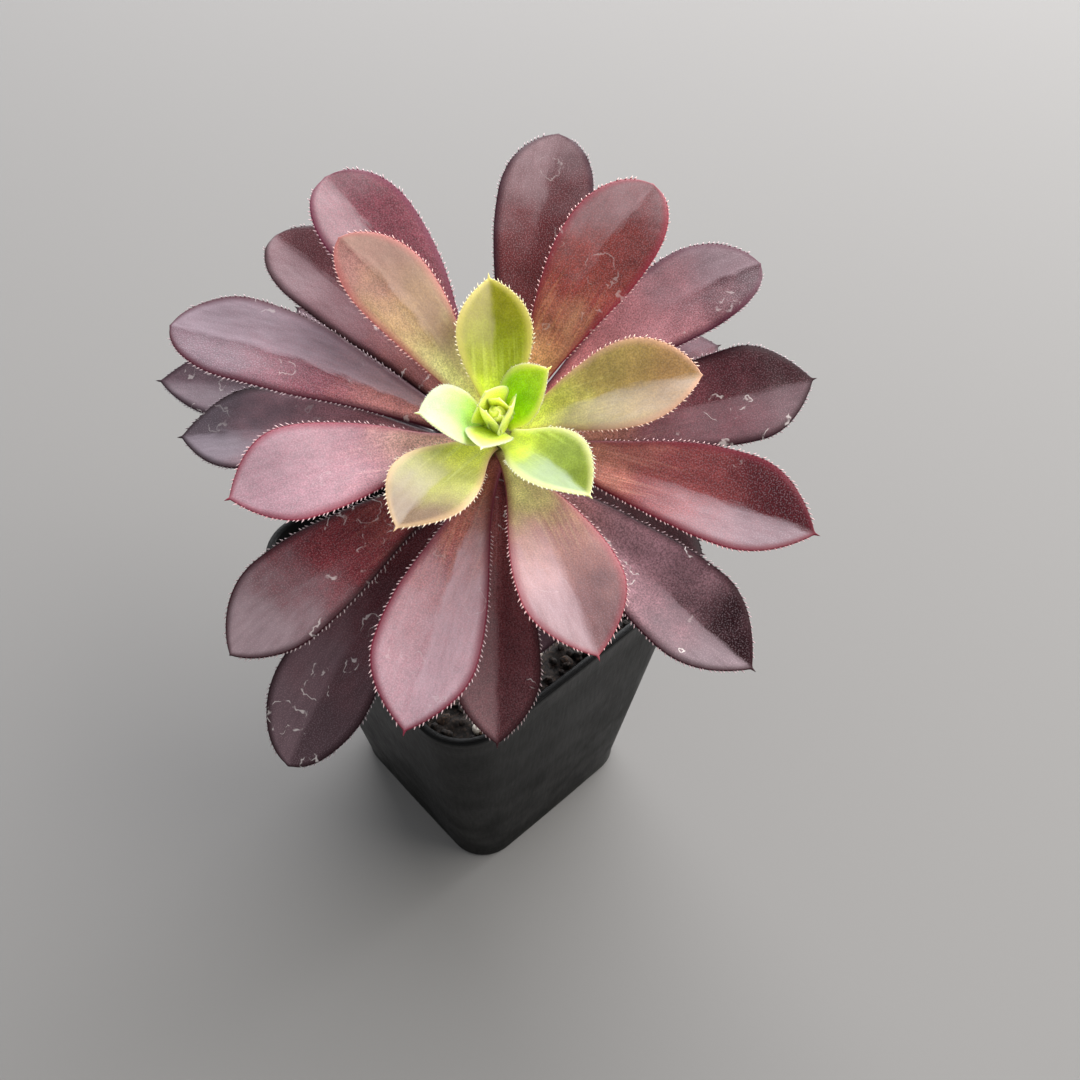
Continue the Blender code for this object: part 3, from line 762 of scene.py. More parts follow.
def stem_grid():
    """Circles across the path, raised and sunk by scars. Returns the grid, drop and scar share."""
    path, ahead, drop = stem_path()
    side = unit(np.cross(ahead, (0.0, 1.0, 0.0)))
    front = np.cross(ahead, side)
    angle = np.linspace(0, math.tau, STEM_COLUMNS, endpoint=False)
    drops = np.broadcast_to(drop[:, None], (STEM_ROWS, STEM_COLUMNS))
    radius = stem_radius(drops)
    scar_share = np.zeros_like(radius)
    for age in sorted(set(SCAR_AGES) - set(LEAF_AGES)):
        turn = math.radians(FIRST_ANGLE + GOLDEN_ANGLE * age)
        away = (angle - turn + math.pi) % math.tau - math.pi
        x = away * radius / SCAR_HALF_WIDTH
        y = (drops - LEAF_STEP * age) / SCAR_HALF_HEIGHT
        scar_share = np.maximum(scar_share, np.exp(-(x ** 4) - y ** 2))
        radius = radius + SCAR_LIP * np.exp(-(x ** 4) - (y - 1.5) ** 2)
    radius = radius - SCAR_DEPTH * scar_share
    round_stem = np.broadcast_to(angle * STEM_FOOT_RADIUS, drops.shape)
    wrinkle = hills(round_stem, drops, WRINKLE_SIZE) * np.sin(angle / 2) ** 0.5
    radius = radius + WRINKLE_HEIGHT * wrinkle * eased((drops - 12 * MM) / (15 * MM))
    ring = side[:, None] * np.cos(angle)[:, None] + front[:, None] * np.sin(angle)[:, None]
    return path[:, None] + ring * radius[..., None], drops, scar_share


stem_points, stem_drop, stem_scar = stem_grid()
stem_shape = closed_tube(stem_points, drop_mm=stem_drop / MM, scar=stem_scar)
print("stem length:", round(float(stem_drop.max() / MM)), "mm below the crown")


# %% [markdown]
# ## Stem finish
# Young stem is green with a thin skin. Lower down the skin turns to cork, grey-brown and matt, split
# by fine lengthwise cracks, and the scars stay paler. The colour therefore follows the distance
# below the crown, which the mesh carries as an attribute, and the scar share that shaped it.

# %% Cork and green skin
def succulent_bark():
    """Stem skin: green at the tip to grey-brown cork, paler on scars, with fine lengthwise cracks."""
    made, tree = new_material("succulent_stem_cork")
    place = add(tree, "TexCoord", {}, "Object")
    drop = add(tree, "Attribute", {}, "Fac", attribute_name="drop_mm")
    scar = add(tree, "Attribute", {}, "Fac", attribute_name="scar")
    patch = add(tree, "TexNoise", {"Vector": place, "Scale": 1 / (3 * MM), "Detail": 4.0})
    wander = add(tree, "Math", {0: patch, 1: 14.0, 2: drop}, operation="MULTIPLY_ADD")
    corky = add(tree, "MapRange", {0: wander, 1: 18.0, 2: 36.0})
    # Cracks 0.25 mm wide and some 3 mm long run up the stem.
    stretch = (1 / (0.5 * MM), 1 / (0.5 * MM), 1 / (3 * MM))
    stretched = add(tree, "VectorMath", {0: place, 1: stretch}, operation="MULTIPLY")
    crack = add(tree, "TexNoise", {"Vector": stretched, "Scale": 1.0, "Detail": 3.0})
    cracked = add(tree, "MapRange", {0: crack, 1: 0.5, 2: 0.7})
    scarred = add(tree, "Math", {0: scar, 1: 0.75}, operation="MULTIPLY")
    colour = linear("#7d7a3c")
    for cover, over in ((corky, "#6d5644"), (cracked, "#3d2e24"), (scarred, "#a08a70")):
        layers = {FACTOR: cover, COLOUR_A: colour, COLOUR_B: linear(over)}
        colour = add(tree, "Mix", layers, **COLOUR_MIX)
    bump = add(tree, "Bump", {"Height": crack, "Distance": 0.15 * MM})
    cork = add(tree, "BsdfPrincipled", {"Base Color": colour, "Roughness": 0.75, "Normal": bump})
    add(tree, "OutputMaterial", {"Surface": cork})
    return made


stem = new_piece("stem_bark", stem_shape, succulent_bark())
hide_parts("stem")
print("stem points:", len(stem_shape.points))


# %% [markdown]
# ## Leaf shape
# A leaf is spoon-shaped: a narrow thick root, a blade that is widest past the middle, and a short
# point. It is folded along its middle and rises or droops along its length. Two numbers place a point
# of its skin: how far along it is, from 0 at the root to 1 at the tip, and how far round its section.
# The section is worked out flat, then laid across the leaf's middle line at that place. A flat sheet
# with a Solidify modifier would be quicker, but a real leaf is thick in the middle and thin at its edge.

# %% Middle line and outline
BLADE_SWELL = 3.0
TIP_CURVE = 2.0
TIP_TAPER = 0.95
# Tapers of the leaves whose ends are worn or grown blunt: a half power is the end of an ellipse.
BLUNT_TAPER = {
    7: 0.8, 8: 0.62, 10: 0.55, 13: 0.5, 15: 0.62, 16: 0.6, 18: 0.6, 19: 0.8, 21: 0.5, 27: 0.6,
}
# The middle line runs on a little past the tip, for the point.
LINE_STEPS = 240
LINE_END = 1.1


def half_width(leaf, age, share):
    """Half the width: a sine swell to the widest place, then a rounded taper to nothing at the tip."""
    swell = np.sin(np.minimum(share / leaf.widest_at, 1) * math.pi / 2)
    rise = swell ** (BLADE_SWELL * leaf.widest_at)
    blade = leaf.root_width + (leaf.width - leaf.root_width) * rise
    past = np.clip(share - leaf.widest_at, 0, 1 - leaf.widest_at) / (1 - leaf.widest_at)
    return 0.5 * blade * (1 - past ** TIP_CURVE) ** BLUNT_TAPER.get(age, TIP_TAPER)


def middle_line(leaf, age, share):
    """Point, leftward vector and upward vector of the leaf's middle line at each share.

    The pitch changes evenly from root to tip, the heading swings as the square of the share, and
    the steps are added up from the root. The blade then rolls about the line.
    """
    fine = np.linspace(0, LINE_END, LINE_STEPS)
    held = np.minimum(fine, 1)
    pitch = leaf.root_pitch + (leaf.tip_pitch - leaf.root_pitch) * held
    heading = leaf_swing(age) * (held ** 2 - 1 / 3)
    flat = np.cos(pitch)
    ahead = np.stack((flat * np.cos(heading), flat * np.sin(heading), np.sin(pitch)), axis=-1)
    step = (ahead[1:] + ahead[:-1]) / 2 * leaf.length * fine[1]
    line = np.vstack((np.zeros(3), np.cumsum(step, axis=0)))
    point, ahead = between(share, fine, line), unit(between(share, fine, ahead))
    turn = np.interp(share, fine, heading)
    level = np.stack((-np.sin(turn), np.cos(turn), np.zeros_like(turn)), axis=-1)
    roll = (leaf_roll(age) * np.minimum(share / ROLL_DONE_AT, 1))[:, None]
    left = level * np.cos(roll) + np.cross(ahead, level) * np.sin(roll)
    return point, left, np.cross(ahead, left)


middle_width = 2 * float(half_width(grown(12), 12, 0.5))
print("a leaf of age 12 is", round(middle_width / MM, 1), "mm wide at its middle")

# %% Section and skin
LEAF_ROWS = 84
LEAF_COLUMNS = 22
TOP_SHARE = 0.35
EDGE_THICKNESS = 0.45 * MM
POINT_LENGTH = 0.9 * MM
BLUNT_POINT_LENGTH = 0.2 * MM
POINT_RADIUS = 0.22 * MM
MARGIN_SHARE = 0.24
MARGIN_DROP = 0.04
SHARP_CREASE = 0.35 * MM
SOFT_CREASE = 1.6 * MM
# A blade narrower than the first has a sharper crease. Waves grow with the width, to the heights
# below at the second.
CREASE_WIDTH = 15 * MM
WAVE_WIDTH = 18 * MM
WAVES = (
    # hill size, height, how much slower across, and each leaf's step on the hills along and across
    (9 * MM, 0.45 * MM, 1.0, 31 * MM, 17 * MM),
    (3.5 * MM, 0.09 * MM, 0.6, 53 * MM, 5 * MM),
)


def fold_slope(age):
    """How steeply the halves of a blade rise from its middle: the tangent of the fold."""
    return math.tan(math.radians(FOLD.get(age, USUAL_FOLD)))


def leaf_lift(leaf, age, share, across):
    """Height of the blade's middle surface above its line, at a distance across.

    The fold raises both halves in a V whose bottom is rounded: the root of across squared plus
    crease squared, less the crease. Slow waves make every blade a little uneven.
    """
    crease = (SHARP_CREASE if age in FOLD else SOFT_CREASE) * min(leaf.width / CREASE_WIDTH, 1)
    fold_height = fold_slope(age) * (np.sqrt(across ** 2 + crease ** 2) - crease)
    along = share * leaf.length
    uneven = sum(height * hills(along + age * step_along, across * slower + age * step_across, size)
                 for size, height, slower, step_along, step_across in WAVES)
    return fold_height + uneven * eased(share * 3) * (leaf.width / WAVE_WIDTH)


def margin_roll(half, edge):
    """How far the blade's margin rolls down: the square of the nearness to the edge, from 0 to 1."""
    near = np.clip(1 - edge / np.maximum(MARGIN_SHARE * half, 0.1 * MM), 0, 1)
    return MARGIN_DROP * half * near ** 2


def leaf_skin(age):
    """The leaf's closed skin, its root at the origin, in rings from the root to the point.

    Round a ring, the top runs from the right edge to the left one and the bottom runs back. The
    section's thickness falls off from the middle as an ellipse does. Its values are the share
    along, and in metres the distance to the left of the middle and the distance from the edge.
    """
    leaf = grown(age)
    steps = np.linspace(0, 1, LEAF_ROWS)
    point_length = BLUNT_POINT_LENGTH if age in BLUNT_TAPER else POINT_LENGTH
    share = steps * (1.6 - 0.6 * steps) * (1 + point_length / leaf.length)
    blade = half_width(leaf, age, np.minimum(share, 1))
    past = np.clip((share - 1) * leaf.length / point_length, 0, 1)
    width = np.maximum(blade, POINT_RADIUS * (1 - past) + 0.01 * MM)
    sweep = np.sin(np.linspace(-math.pi / 2, math.pi / 2, LEAF_COLUMNS))
    side = np.r_[sweep, sweep[-2:0:-1]]
    is_top = np.arange(len(side)) < LEAF_COLUMNS
    across = width[:, None] * side
    edge = width[:, None] - np.abs(across)
    middle = EDGE_THICKNESS + (leaf.thickness - EDGE_THICKNESS) * (1 - np.minimum(share, 1) ** 2)
    middle = np.minimum(middle, 3.0 * width)[:, None]
    above = TOP_SHARE * middle * np.sqrt(1 - side ** 2) ** 1.2
    below = (1 - TOP_SHARE) * middle * np.sqrt(1 - side ** 2)
    height = leaf_lift(leaf, age, share[:, None], across) + np.where(is_top, above, -below)
    height = height - margin_roll(width[:, None], edge)
    point, left, up = middle_line(leaf, age, share)
    grid = point[:, None] + left[:, None] * across[..., None] + up[:, None] * height[..., None]
    along = np.broadcast_to(share[:, None], across.shape)
    return closed_tube(grid, along=along, side=across, edge=edge, hair=np.zeros_like(across))


print("the skin of a leaf of age 12 has", len(leaf_skin(12).points), "points")


# %% [markdown]
# ## Cilia
# The margin of a young aeonium leaf carries a comb of stiff little hairs called cilia, white at
# the tip. They stand nearly 1 mm apart and point outwards and forwards. Blender's hair would have no
# faces of its own, so each is a slim cone of four sides that bends forward. They are set along the
# edge at even distances, with a little random play, so the edge's length is added up first and the
# hairs are then placed along it.

# %% Cilia along an edge
HAIR_SPACING = 0.88 * MM
HAIR_LENGTH = 0.68 * MM
HAIR_RADIUS = 0.24 * MM
HAIR_SINK = 0.12 * MM
HAIRS_FROM = 0.3
HAIRS_TO = 0.985
# Leaves shorter than this have smaller hairs, in proportion.
HAIR_LEAF = 26 * MM
# A hair's random share of the length, and the mean and spread of its lean forwards and upwards.
HAIR_SHARES = (0.45, 1.2)
HAIR_LEAN = (0.55, 0.16)
HAIR_TILT = (0.1, 0.2)
# Each ring of a hair: its share up the hair, its thickness and its bend forward.
HAIR_RINGS = np.array(((0.0, 1.0, 0.0), (0.5, 0.62, 0.06), (1.0, 0.06, 0.22)))
# Each corner of a ring: its shares of the radius along the edge and through the leaf.
HAIR_CORNERS = np.array(((1, 0), (0, 0.7), (-1, 0), (0, -0.7)))
HAIR_POINTS = len(HAIR_RINGS) * len(HAIR_CORNERS)
# The faces of one hair: its sides, its foot and its tip.
HAIR_SIDES = closed_tube(np.zeros((len(HAIR_RINGS), len(HAIR_CORNERS), 3))).quads
HAIR_FACES = np.vstack((HAIR_SIDES, (3, 2, 1, 0), (8, 9, 10, 11)))


def hair_comb(age, side, rng):
    """Cilia along the right edge of a leaf, side -1, or along its left edge, side 1.

    A ring of a hair is a diamond: its radius times shares along the edge and through the leaf. The
    hair's middle moves outwards with its length and forwards with the square of it.
    """
    leaf = grown(age)
    size = float(np.clip(leaf.length / HAIR_LEAF, 0.5, 1))
    share = np.linspace(HAIRS_FROM, HAIRS_TO, 400)
    width = half_width(leaf, age, share)
    lift = leaf_lift(leaf, age, share, side * width) - margin_roll(width, 0)
    middle, left, up = middle_line(leaf, age, share)
    edge_line = middle + left * (side * width)[:, None] + up * lift[:, None]
    known = travelled(edge_line)
    count = max(4, int(known[-1] / (HAIR_SPACING * size)))
    spots = (np.arange(count) + 0.5 + rng.uniform(-0.22, 0.22, count)) / count * known[-1]
    root, along, outward, through = (
        between(spots, known, rows)
        for rows in (edge_line, np.gradient(edge_line, axis=0), left, up)
    )
    along = unit(along)
    outward = outward * side + through * fold_slope(age)
    outward = unit(outward - along * np.sum(outward * along, axis=1, keepdims=True))
    through = np.cross(outward, along)
    lean = rng.normal(*HAIR_LEAN, count)[:, None]
    tilt = rng.normal(*HAIR_TILT, count)[:, None]
    length = HAIR_LENGTH * size * rng.uniform(*HAIR_SHARES, count)[:, None, None, None]
    pointing = unit(outward + along * lean + through * tilt)
    # From here on the arrays run over hairs, rings, corners and x, y, z.
    root, along, through, pointing = (
        rows[:, None, None] for rows in (root, along, through, pointing)
    )
    reach, thick, forward = HAIR_RINGS.T[..., None, None]
    beside, depth = HAIR_CORNERS.T[..., None]
    centre = root + pointing * (length * reach - HAIR_SINK) + along * length * forward
    points = centre + (along * beside + through * depth) * HAIR_RADIUS * size * thick
    bare = np.zeros(count * HAIR_POINTS)
    values = {
        "along": np.repeat(np.interp(spots, known, share), HAIR_POINTS), "side": bare, "edge": bare,
        "hair": np.broadcast_to(reach[..., 0], points.shape[:3]).ravel(),
    }
    faces = repeated(HAIR_FACES, count, HAIR_POINTS)
    return Shape(points.reshape(-1, 3), faces, np.zeros((0, 3), dtype=int), values)


def cilia(age):
    """The cilia along both edges of a leaf. The value hair is a point's share up its hair."""
    rng = np.random.default_rng(100 + age)
    return joined([hair_comb(age, side, rng) for side in (-1, 1)])


print("a leaf of age 12 carries", len(cilia(12).points) // HAIR_POINTS, "cilia")


# %% [markdown]
# ## Leaf colours
# Dark pigment builds up with light and age. The heart is fresh yellow-green, the next leaves turn
# olive and bronze from the tip inwards, and the full-grown ones pass through wine red to an aubergine
# that is almost black. One colour ramp for all would miss how much neighbours differ, so a table
# names the colour at the root, in the middle, at the outer end, in a blush along the edge and on the
# rim itself, with the colour of the veins and that of a painted sheen, the sky's pale reflection laid
# on as colour. On the dark leaves the blush also paints the shade of the margin. Marks are dried rings
# left by drops of water.

# %% Skin colours by age
# The last colour of each row is painted sheen, the sky's pale reflection laid on as colour. On the dark
# leaves the blush also paints the shade of the margin.
Skin = namedtuple("Skin", "root middle outer blush rim streak bloom marks")
SKINS = {
    -7: Skin("#ecff3c", "#f4ff54", "#f4ff74", "#f8ff90", "#fcffc8", "#e8fc4c", "#f6fad8", 0.0),
    0: Skin("#e8fc34", "#ecff58", "#f0ff84", "#f8ff9c", "#fcffc8", "#e8fc4c", "#f2fadc", 0.0),
    1: Skin("#d8f040", "#d0e648", "#c8dc70", "#ecf0a8", "#fcfcd4", "#d4ec68", "#d8e8b4", 0.0),
    2: Skin("#bce818", "#98cc10", "#a0c828", "#d8e484", "#fcfcd0", "#b8e040", "#dcecd0", 0.0),
    3: Skin("#ccf448", "#b0dc74", "#a8cc90", "#dce8a0", "#fafad4", "#ccec88", "#d4e8d0", 0.0),
    4: Skin("#ecff60", "#8c9e40", "#788a30", "#e0e498", "#fffcd8", "#dcf478", "#9cac94", 0.0),
    5: Skin("#ecff58", "#9ca420", "#8c8a1c", "#e0cc7c", "#fff0c8", "#e4f078", "#c0ac98", 0.0),
    6: Skin("#fcff6c", "#a8aa54", "#74583c", "#d8b48c", "#fff0d8", "#ecf0a0", "#bcb0a4", 0.0),
    7: Skin("#ffff80", "#ac9450", "#a88050", "#c8987c", "#fcdccc", "#ece088", "#b8aca4", 0.05),
    8: Skin("#ffffac", "#94744c", "#7c504a", "#a8605c", "#f8d0c8", "#d8c890", "#c8a898", 0.05),
    9: Skin("#dcd888", "#a06c60", "#5c2c28", "#8c3c46", "#f6d4d0", "#e4d098", "#c0a8ae", 0.1),
    10: Skin("#e8ac84", "#843830", "#602828", "#842434", "#f2c8c4", "#d49c6c", "#b8a0a4", 0.2),
    11: Skin("#eebcac", "#8c545e", "#784854", "#7c2c3c", "#f6d8d8", "#e8b4a8", "#c8b0b8", 0.08),
    12: Skin("#d48c78", "#863e3e", "#480e16", "#601624", "#eac4c4", "#ecb098", "#b4a4ac", 0.2),
    13: Skin("#8c3c50", "#78404a", "#743a44", "#602438", "#e8c4c8", "#9c6070", "#ac9ca0", 0.05),
    14: Skin("#b86c5c", "#824446", "#804a54", "#6c2434", "#f0d4d4", "#c08c74", "#c8b0b8", 0.12),
    15: Skin("#d4868e", "#9c666c", "#3c1a22", "#481a2a", "#dcc0c4", "#c48488", "#c0a8b0", 0.2),
    16: Skin("#b87870", "#6c343e", "#44202c", "#441824", "#dcc4c8", "#b87470", "#b8a6b0", 0.25),
    17: Skin("#cc8c90", "#a87c84", "#26080e", "#2c0c14", "#dcbcc0", "#d0a4a8", "#c0a8b0", 0.9),
    18: Skin("#7c3c3c", "#5c2426", "#482024", "#341620", "#ccb4b8", "#704044", "#b8a0a4", 0.2),
    19: Skin("#944c42", "#6e2a30", "#3c161c", "#2c0a12", "#ccb8b8", "#a06458", "#b49ea4", 0.45),
    20: Skin("#b07c6c", "#643038", "#341218", "#280c14", "#ccb4b8", "#a87870", "#a88c94", 0.45),
    22: Skin("#803c3c", "#6c3438", "#64383c", "#321418", "#c8b0b0", "#946060", "#a89094", 0.6),
    24: Skin("#bc7c80", "#b07880", "#30181f", "#240c14", "#b8a8ac", "#bc9aa0", "#a89aa4", 0.25),
    25: Skin("#402024", "#34141a", "#2c1218", "#1c0a10", "#6c5458", "#40242a", "#5c4c50", 0.0),
    26: Skin("#48282c", "#2c1218", "#200e12", "#1c0a10", "#a49094", "#583238", "#84747a", 0.8),
    27: Skin("#683438", "#4c2026", "#280e14", "#240c12", "#c4b4b6", "#70424a", "#a88c94", 0.55),
    28: Skin("#50343c", "#502830", "#50282e", "#2e141c", "#b0a0a4", "#5c3840", "#84707a", 0.5),
    37: Skin("#443038", "#4a3036", "#482f37", "#2c1820", "#a8a0a4", "#5c3c46", "#94848c", 0.3),
}
# How much painted sheen, a pale film that stands in for the sky's reflection, the blade carries on its
# left and on its right half, seen from the root, and the share of the blade where it begins.
PAINTED_SHEEN = {
    2: (0.0, 0.0), 3: (0.2, 0.2), 4: (0.0, 0.6), 5: (0.3, 0.0), 6: (0.08, 0.5), 7: (0.0, 0.45),
    8: (0.0, 0.42), 9: (0.22, 0.5), 10: (0.34, 0.34), 11: (0.3, 0.36), 12: (0.0, 0.36),
    13: (0.4, 0.3), 14: (0.5, 0.4), 15: (0.28, 0.0), 16: (0.2, 0.54), 17: (0.0, 0.36),
    18: (0.3, 0.24), 19: (0.5, 0.54), 20: (0.0, 0.22), 21: (0.3, 0.0), 22: (0.0, 0.2),
    24: (0.54, 0.26), 25: (0.0, 0.0), 27: (0.14, 0.3), 28: (0.28, 0.04), 29: (0.5, 0.05),
    30: (0.4, 0.4), 37: (0.35, 0.2),
}
USUAL_PAINTED_SHEEN = (0.1, 0.1)
PAINTED_SHEEN_FROM = {
    7: (0.25, 0.1), 8: (0.0, 0.0), 10: (0.5, 0.75), 12: (0.25, 0.35), 13: (0.25, 0.7),
    14: (0.1, 0.3), 15: (0.5, 0.5), 16: (0.4, -0.1), 17: (0.25, 0.5), 18: (0.5, 0.65),
    19: (0.5, 0.55), 24: (0.5, 0.3), 27: (0.25, 0.35),
}
USUAL_PAINTED_SHEEN_FROM = (0.25, 0.25)


def skin_at(age):
    """The skin of an age in linear colours, blended between the two nearest rows of the table."""
    ages = sorted(SKINS)
    *colours, marks = zip(*(SKINS[known] for known in ages))
    blended = []
    for column in colours:
        channels = np.array([linear(colour) for colour in column]).T
        blended.append(tuple(float(np.interp(age, ages, channel)) for channel in channels))
    return Skin(*blended, float(np.interp(age, ages, marks)))


print("rows of skin colours:", len(SKINS))


# %% [markdown]
# ## Leaf finish
# Aeonium skin is a waxy cuticle over tightly packed cells: satin, with a fine grain of cells, soft
# blotches of pigment and faint lengthwise veins near the root. Over them lie painted glints of single
# cells and a pale film of painted sheen, the sky's reflection laid on as colour over chosen halves of
# the blade. The patterns use the leaf's own millimetres along and across, so they follow every bend of
# it. Most of them are worked out as covers from 0 to 1, and the colours are then laid over one another
# by their covers.

# %% Aeonium skin
def aeonium_skin(name, age):
    """Waxy leaf skin. The base colour runs from root to tip, and veins, pigment, painted glints, a
    painted sheen, the blush with its painted margin shade, water marks and hair tips are laid over it
    one after another. The youngest leaves let light through, and their wax is thin."""
    skin = skin_at(age)
    gloss = float(np.interp(age, (2, 8, 16), (0.08, 0.2, 0.12)))
    translucent = float(np.interp(age, (2, 7), (0.8, 0.0)))
    # On the older leaves the blush band is stronger, because there it also paints the margin's shade.
    blush_and_shade_strength = float(np.interp(age, (10, 12), (0.6, 0.85)))
    grain = float(np.interp(age, (5, 11), (0.36, 1.0)))
    smooth = {"interpolation_type": "SMOOTHSTEP"}
    times, times_plus = {"operation": "MULTIPLY"}, {"operation": "MULTIPLY_ADD"}
    made, tree = new_material(name)
    place = add(tree, "Attribute", {}, "Vector", attribute_name="leaf_mm")
    share, edge, hair = (add(tree, "Attribute", {}, "Fac", attribute_name=label)
                         for label in ("along", "edge_mm", "hair"))
    # The colours of the root, the middle and the outer end meet along clouds of 7 mm.
    cloud = add(tree, "TexNoise", {"Vector": place, "Scale": 1 / 7, "Detail": 3.0})
    drift = add(tree, "Math", {0: cloud, 1: 0.36, 2: -0.18}, **times_plus)
    along = add(tree, "Math", {0: share, 1: drift})
    inner = add(tree, "MapRange", {0: along, 1: 0.12, 2: 0.52}, **smooth)
    outer = add(tree, "MapRange", {0: along, 1: 0.5, 2: 0.9}, **smooth)
    # Veins are 0.6 mm wide and fade out past the leaf's middle.
    vein_place = add(tree, "VectorMath", {0: place, 1: (1 / 16, 1 / 0.6, 1)}, **times)
    vein = add(tree, "TexNoise", {"Vector": vein_place, "Scale": 1.0, "Detail": 2.0})
    veined = add(tree, "MapRange", {0: vein, 1: 0.48, 2: 0.72, 4: 0.6})
    vein_fade = add(tree, "MapRange", {0: share, 1: 0.65, 2: 0.2, 3: 0.0, 4: 1.0})
    veins = add(tree, "Math", {0: veined, 1: vein_fade}, **times)
    colour = skin.root
    for cover, over in ((inner, skin.middle), (outer, skin.outer), (veins, skin.streak)):
        colour = add(tree, "Mix", {FACTOR: cover, COLOUR_A: colour, COLOUR_B: over}, **COLOUR_MIX)
    # Pigment: blotches of 2.6 mm and cells of 0.3 mm lighten and darken the skin. The smooth young
    # leaves show less of their cells.
    blotch = add(tree, "TexNoise", {"Vector": place, "Scale": 1 / 2.6, "Detail": 4.0})
    cell = add(tree, "TexNoise", {"Vector": place, "Scale": 1 / 0.3, "Detail": 2.0})
    patchy = add(tree, "MapRange", {0: blotch, 1: 0.3, 2: 0.7, 3: 0.84, 4: 1.14})
    cells = {3: 1 - 0.42 * grain, 4: 1 + 0.38 * grain}
    grainy = add(tree, "MapRange", {0: cell, 1: 0.32, 2: 0.68, **cells})
    value = add(tree, "Math", {0: patchy, 1: grainy}, **times)
    colour = add(tree, "HueSaturation", {"Value": value, "Color": colour})
    # Pale dots about 0.25 mm apart paint the glints of single swollen cells that catch the light, in the
    # colour of the painted sheen.
    speck = add(tree, "TexNoise", {"Vector": place, "Scale": 1 / 0.25, "Detail": 0.0})
    painted_glints = add(tree, "MapRange", {0: speck, 1: 0.5, 2: 0.72, 4: 0.2 * grain})
    # Painted sheen: each half has its own amount of a pale film that stands in for the sky's reflection.
    # It starts past the root, and its border along the crease wanders by about 1 mm in wisps 5 mm long.
    wisp_place = add(tree, "VectorMath", {0: place, 1: (1 / 5, 1 / 1.2, 1)}, **times)
    wisp = add(tree, "TexNoise", {"Vector": wisp_place, "Scale": 1.0, "Detail": 3.0})
    side = add(tree, "SeparateXYZ", {0: place}, "Y")
    half = add(tree, "Math", {0: wisp, 1: 2.4, 2: side}, **times_plus)
    left, right = PAINTED_SHEEN.get(age, USUAL_PAINTED_SHEEN)
    left_start, right_start = PAINTED_SHEEN_FROM.get(age, USUAL_PAINTED_SHEEN_FROM)
    amount = add(tree, "MapRange", {0: half, 1: 0.7, 2: 1.7, 3: right, 4: left})
    start = add(tree, "MapRange", {0: half, 1: 0.7, 2: 1.7, 3: right_start, 4: left_start})
    since = add(tree, "Math", {0: along, 1: start}, operation="SUBTRACT")
    outward = add(tree, "MapRange", {0: since, 1: 0.0, 2: 0.4}, **smooth)
    # The painted sheen comes and goes in patches along the wisps.
    sheen_patches = add(tree, "MapRange", {0: wisp, 1: 0.3, 2: 0.7, 3: 0.82, 4: 1.1})
    spread = add(tree, "Math", {0: outward, 1: sheen_patches}, **times)
    painted_sheen_cover = add(tree, "Math", {0: amount, 1: spread}, **times)
    # The blush is 1.9 mm wide and ends in a thin line of full pigment along the margin. On the older
    # leaves it is fuller and darker, and there it also paints the shade of the margin, which curls down
    # and catches none of the sky's reflection.
    near_edge = add(tree, "MapRange", {0: edge, 1: 1.9, 2: 0.2, 3: 0.0, 4: blush_and_shade_strength}, **smooth)
    margin = add(tree, "MapRange", {0: edge, 1: 0.34, 2: 0.16, 3: 0.0, 4: 0.4})
    at_edge = add(tree, "Math", {0: near_edge, 1: margin})
    # Dried drops leave broken, crooked rings 1 to 6 mm across, one in each cell of 7 mm.
    bend = add(tree, "TexNoise", {"Vector": place, "Scale": 1 / 2.2, "Detail": 2.0}, "Color")
    bent = add(tree, "VectorMath", {0: bend, 1: (4.5, 4.5, 0.0), 2: place}, **times_plus)
    from_drop = add(tree, "TexVoronoi", {"Vector": bent, "Scale": 1 / 7}, "Distance")
    chance = add(tree, "SeparateColor", {0: from_drop.node.outputs["Color"]})
    ring = add(tree, "MapRange", {0: chance, 1: 0.2, 2: 1.0, 3: 0.06, 4: 0.4})
    off_ring = add(tree, "Math", {0: from_drop, 1: ring}, operation="SUBTRACT")
    away = add(tree, "Math", {0: off_ring}, operation="ABSOLUTE")
    line = add(tree, "MapRange", {0: away, 1: 0.026, 2: 0.01, 3: 0.0, 4: 1.0})
    breaks = add(tree, "TexNoise", {"Vector": place, "Scale": 1 / 1.8, "Detail": 1.0})
    kept = add(tree, "MapRange", {0: breaks, 1: 0.45, 2: 0.56})
    rings = add(tree, "Math", {0: line, 1: kept}, **times)
    marks = add(tree, "Math", {0: rings, 1: skin.marks}, **times)
    hair_tip = add(tree, "MapRange", {0: hair, 1: 0.0, 2: 0.8})
    # The glints and the film are painted sheen; on the older leaves the blush band is partly painted
    # margin shade.
    for cover, over in ((painted_glints, skin.bloom), (painted_sheen_cover, skin.bloom), (at_edge, skin.blush),
                        (marks, linear("#e6dcd8")), (hair_tip, skin.rim)):
        colour = add(tree, "Mix", {FACTOR: cover, COLOUR_A: colour, COLOUR_B: over}, **COLOUR_MIX)
    satin = add(tree, "MapRange", {0: cell, 3: 0.36, 4: 0.5})
    rough = add(tree, "Math", {0: marks, 1: 0.3, 2: satin}, **times_plus)
    fine = add(tree, "Bump", {"Height": cell, "Distance": 0.02 * MM})
    coarse = add(tree, "Bump", {"Height": blotch, "Distance": 0.12 * MM, "Normal": fine})
    wax = add(tree, "BsdfPrincipled", {
        "Base Color": colour, "Roughness": rough, "IOR": 1.5, "Specular IOR Level": gloss,
        "Subsurface Weight": translucent, "Subsurface Radius": (1.0, 1.0, 0.35),
        "Subsurface Scale": 3 * MM, "Normal": coarse,
    })
    add(tree, "OutputMaterial", {"Surface": wax})
    return made


print("a leaf's finish is mixed from", ", ".join(Skin._fields))


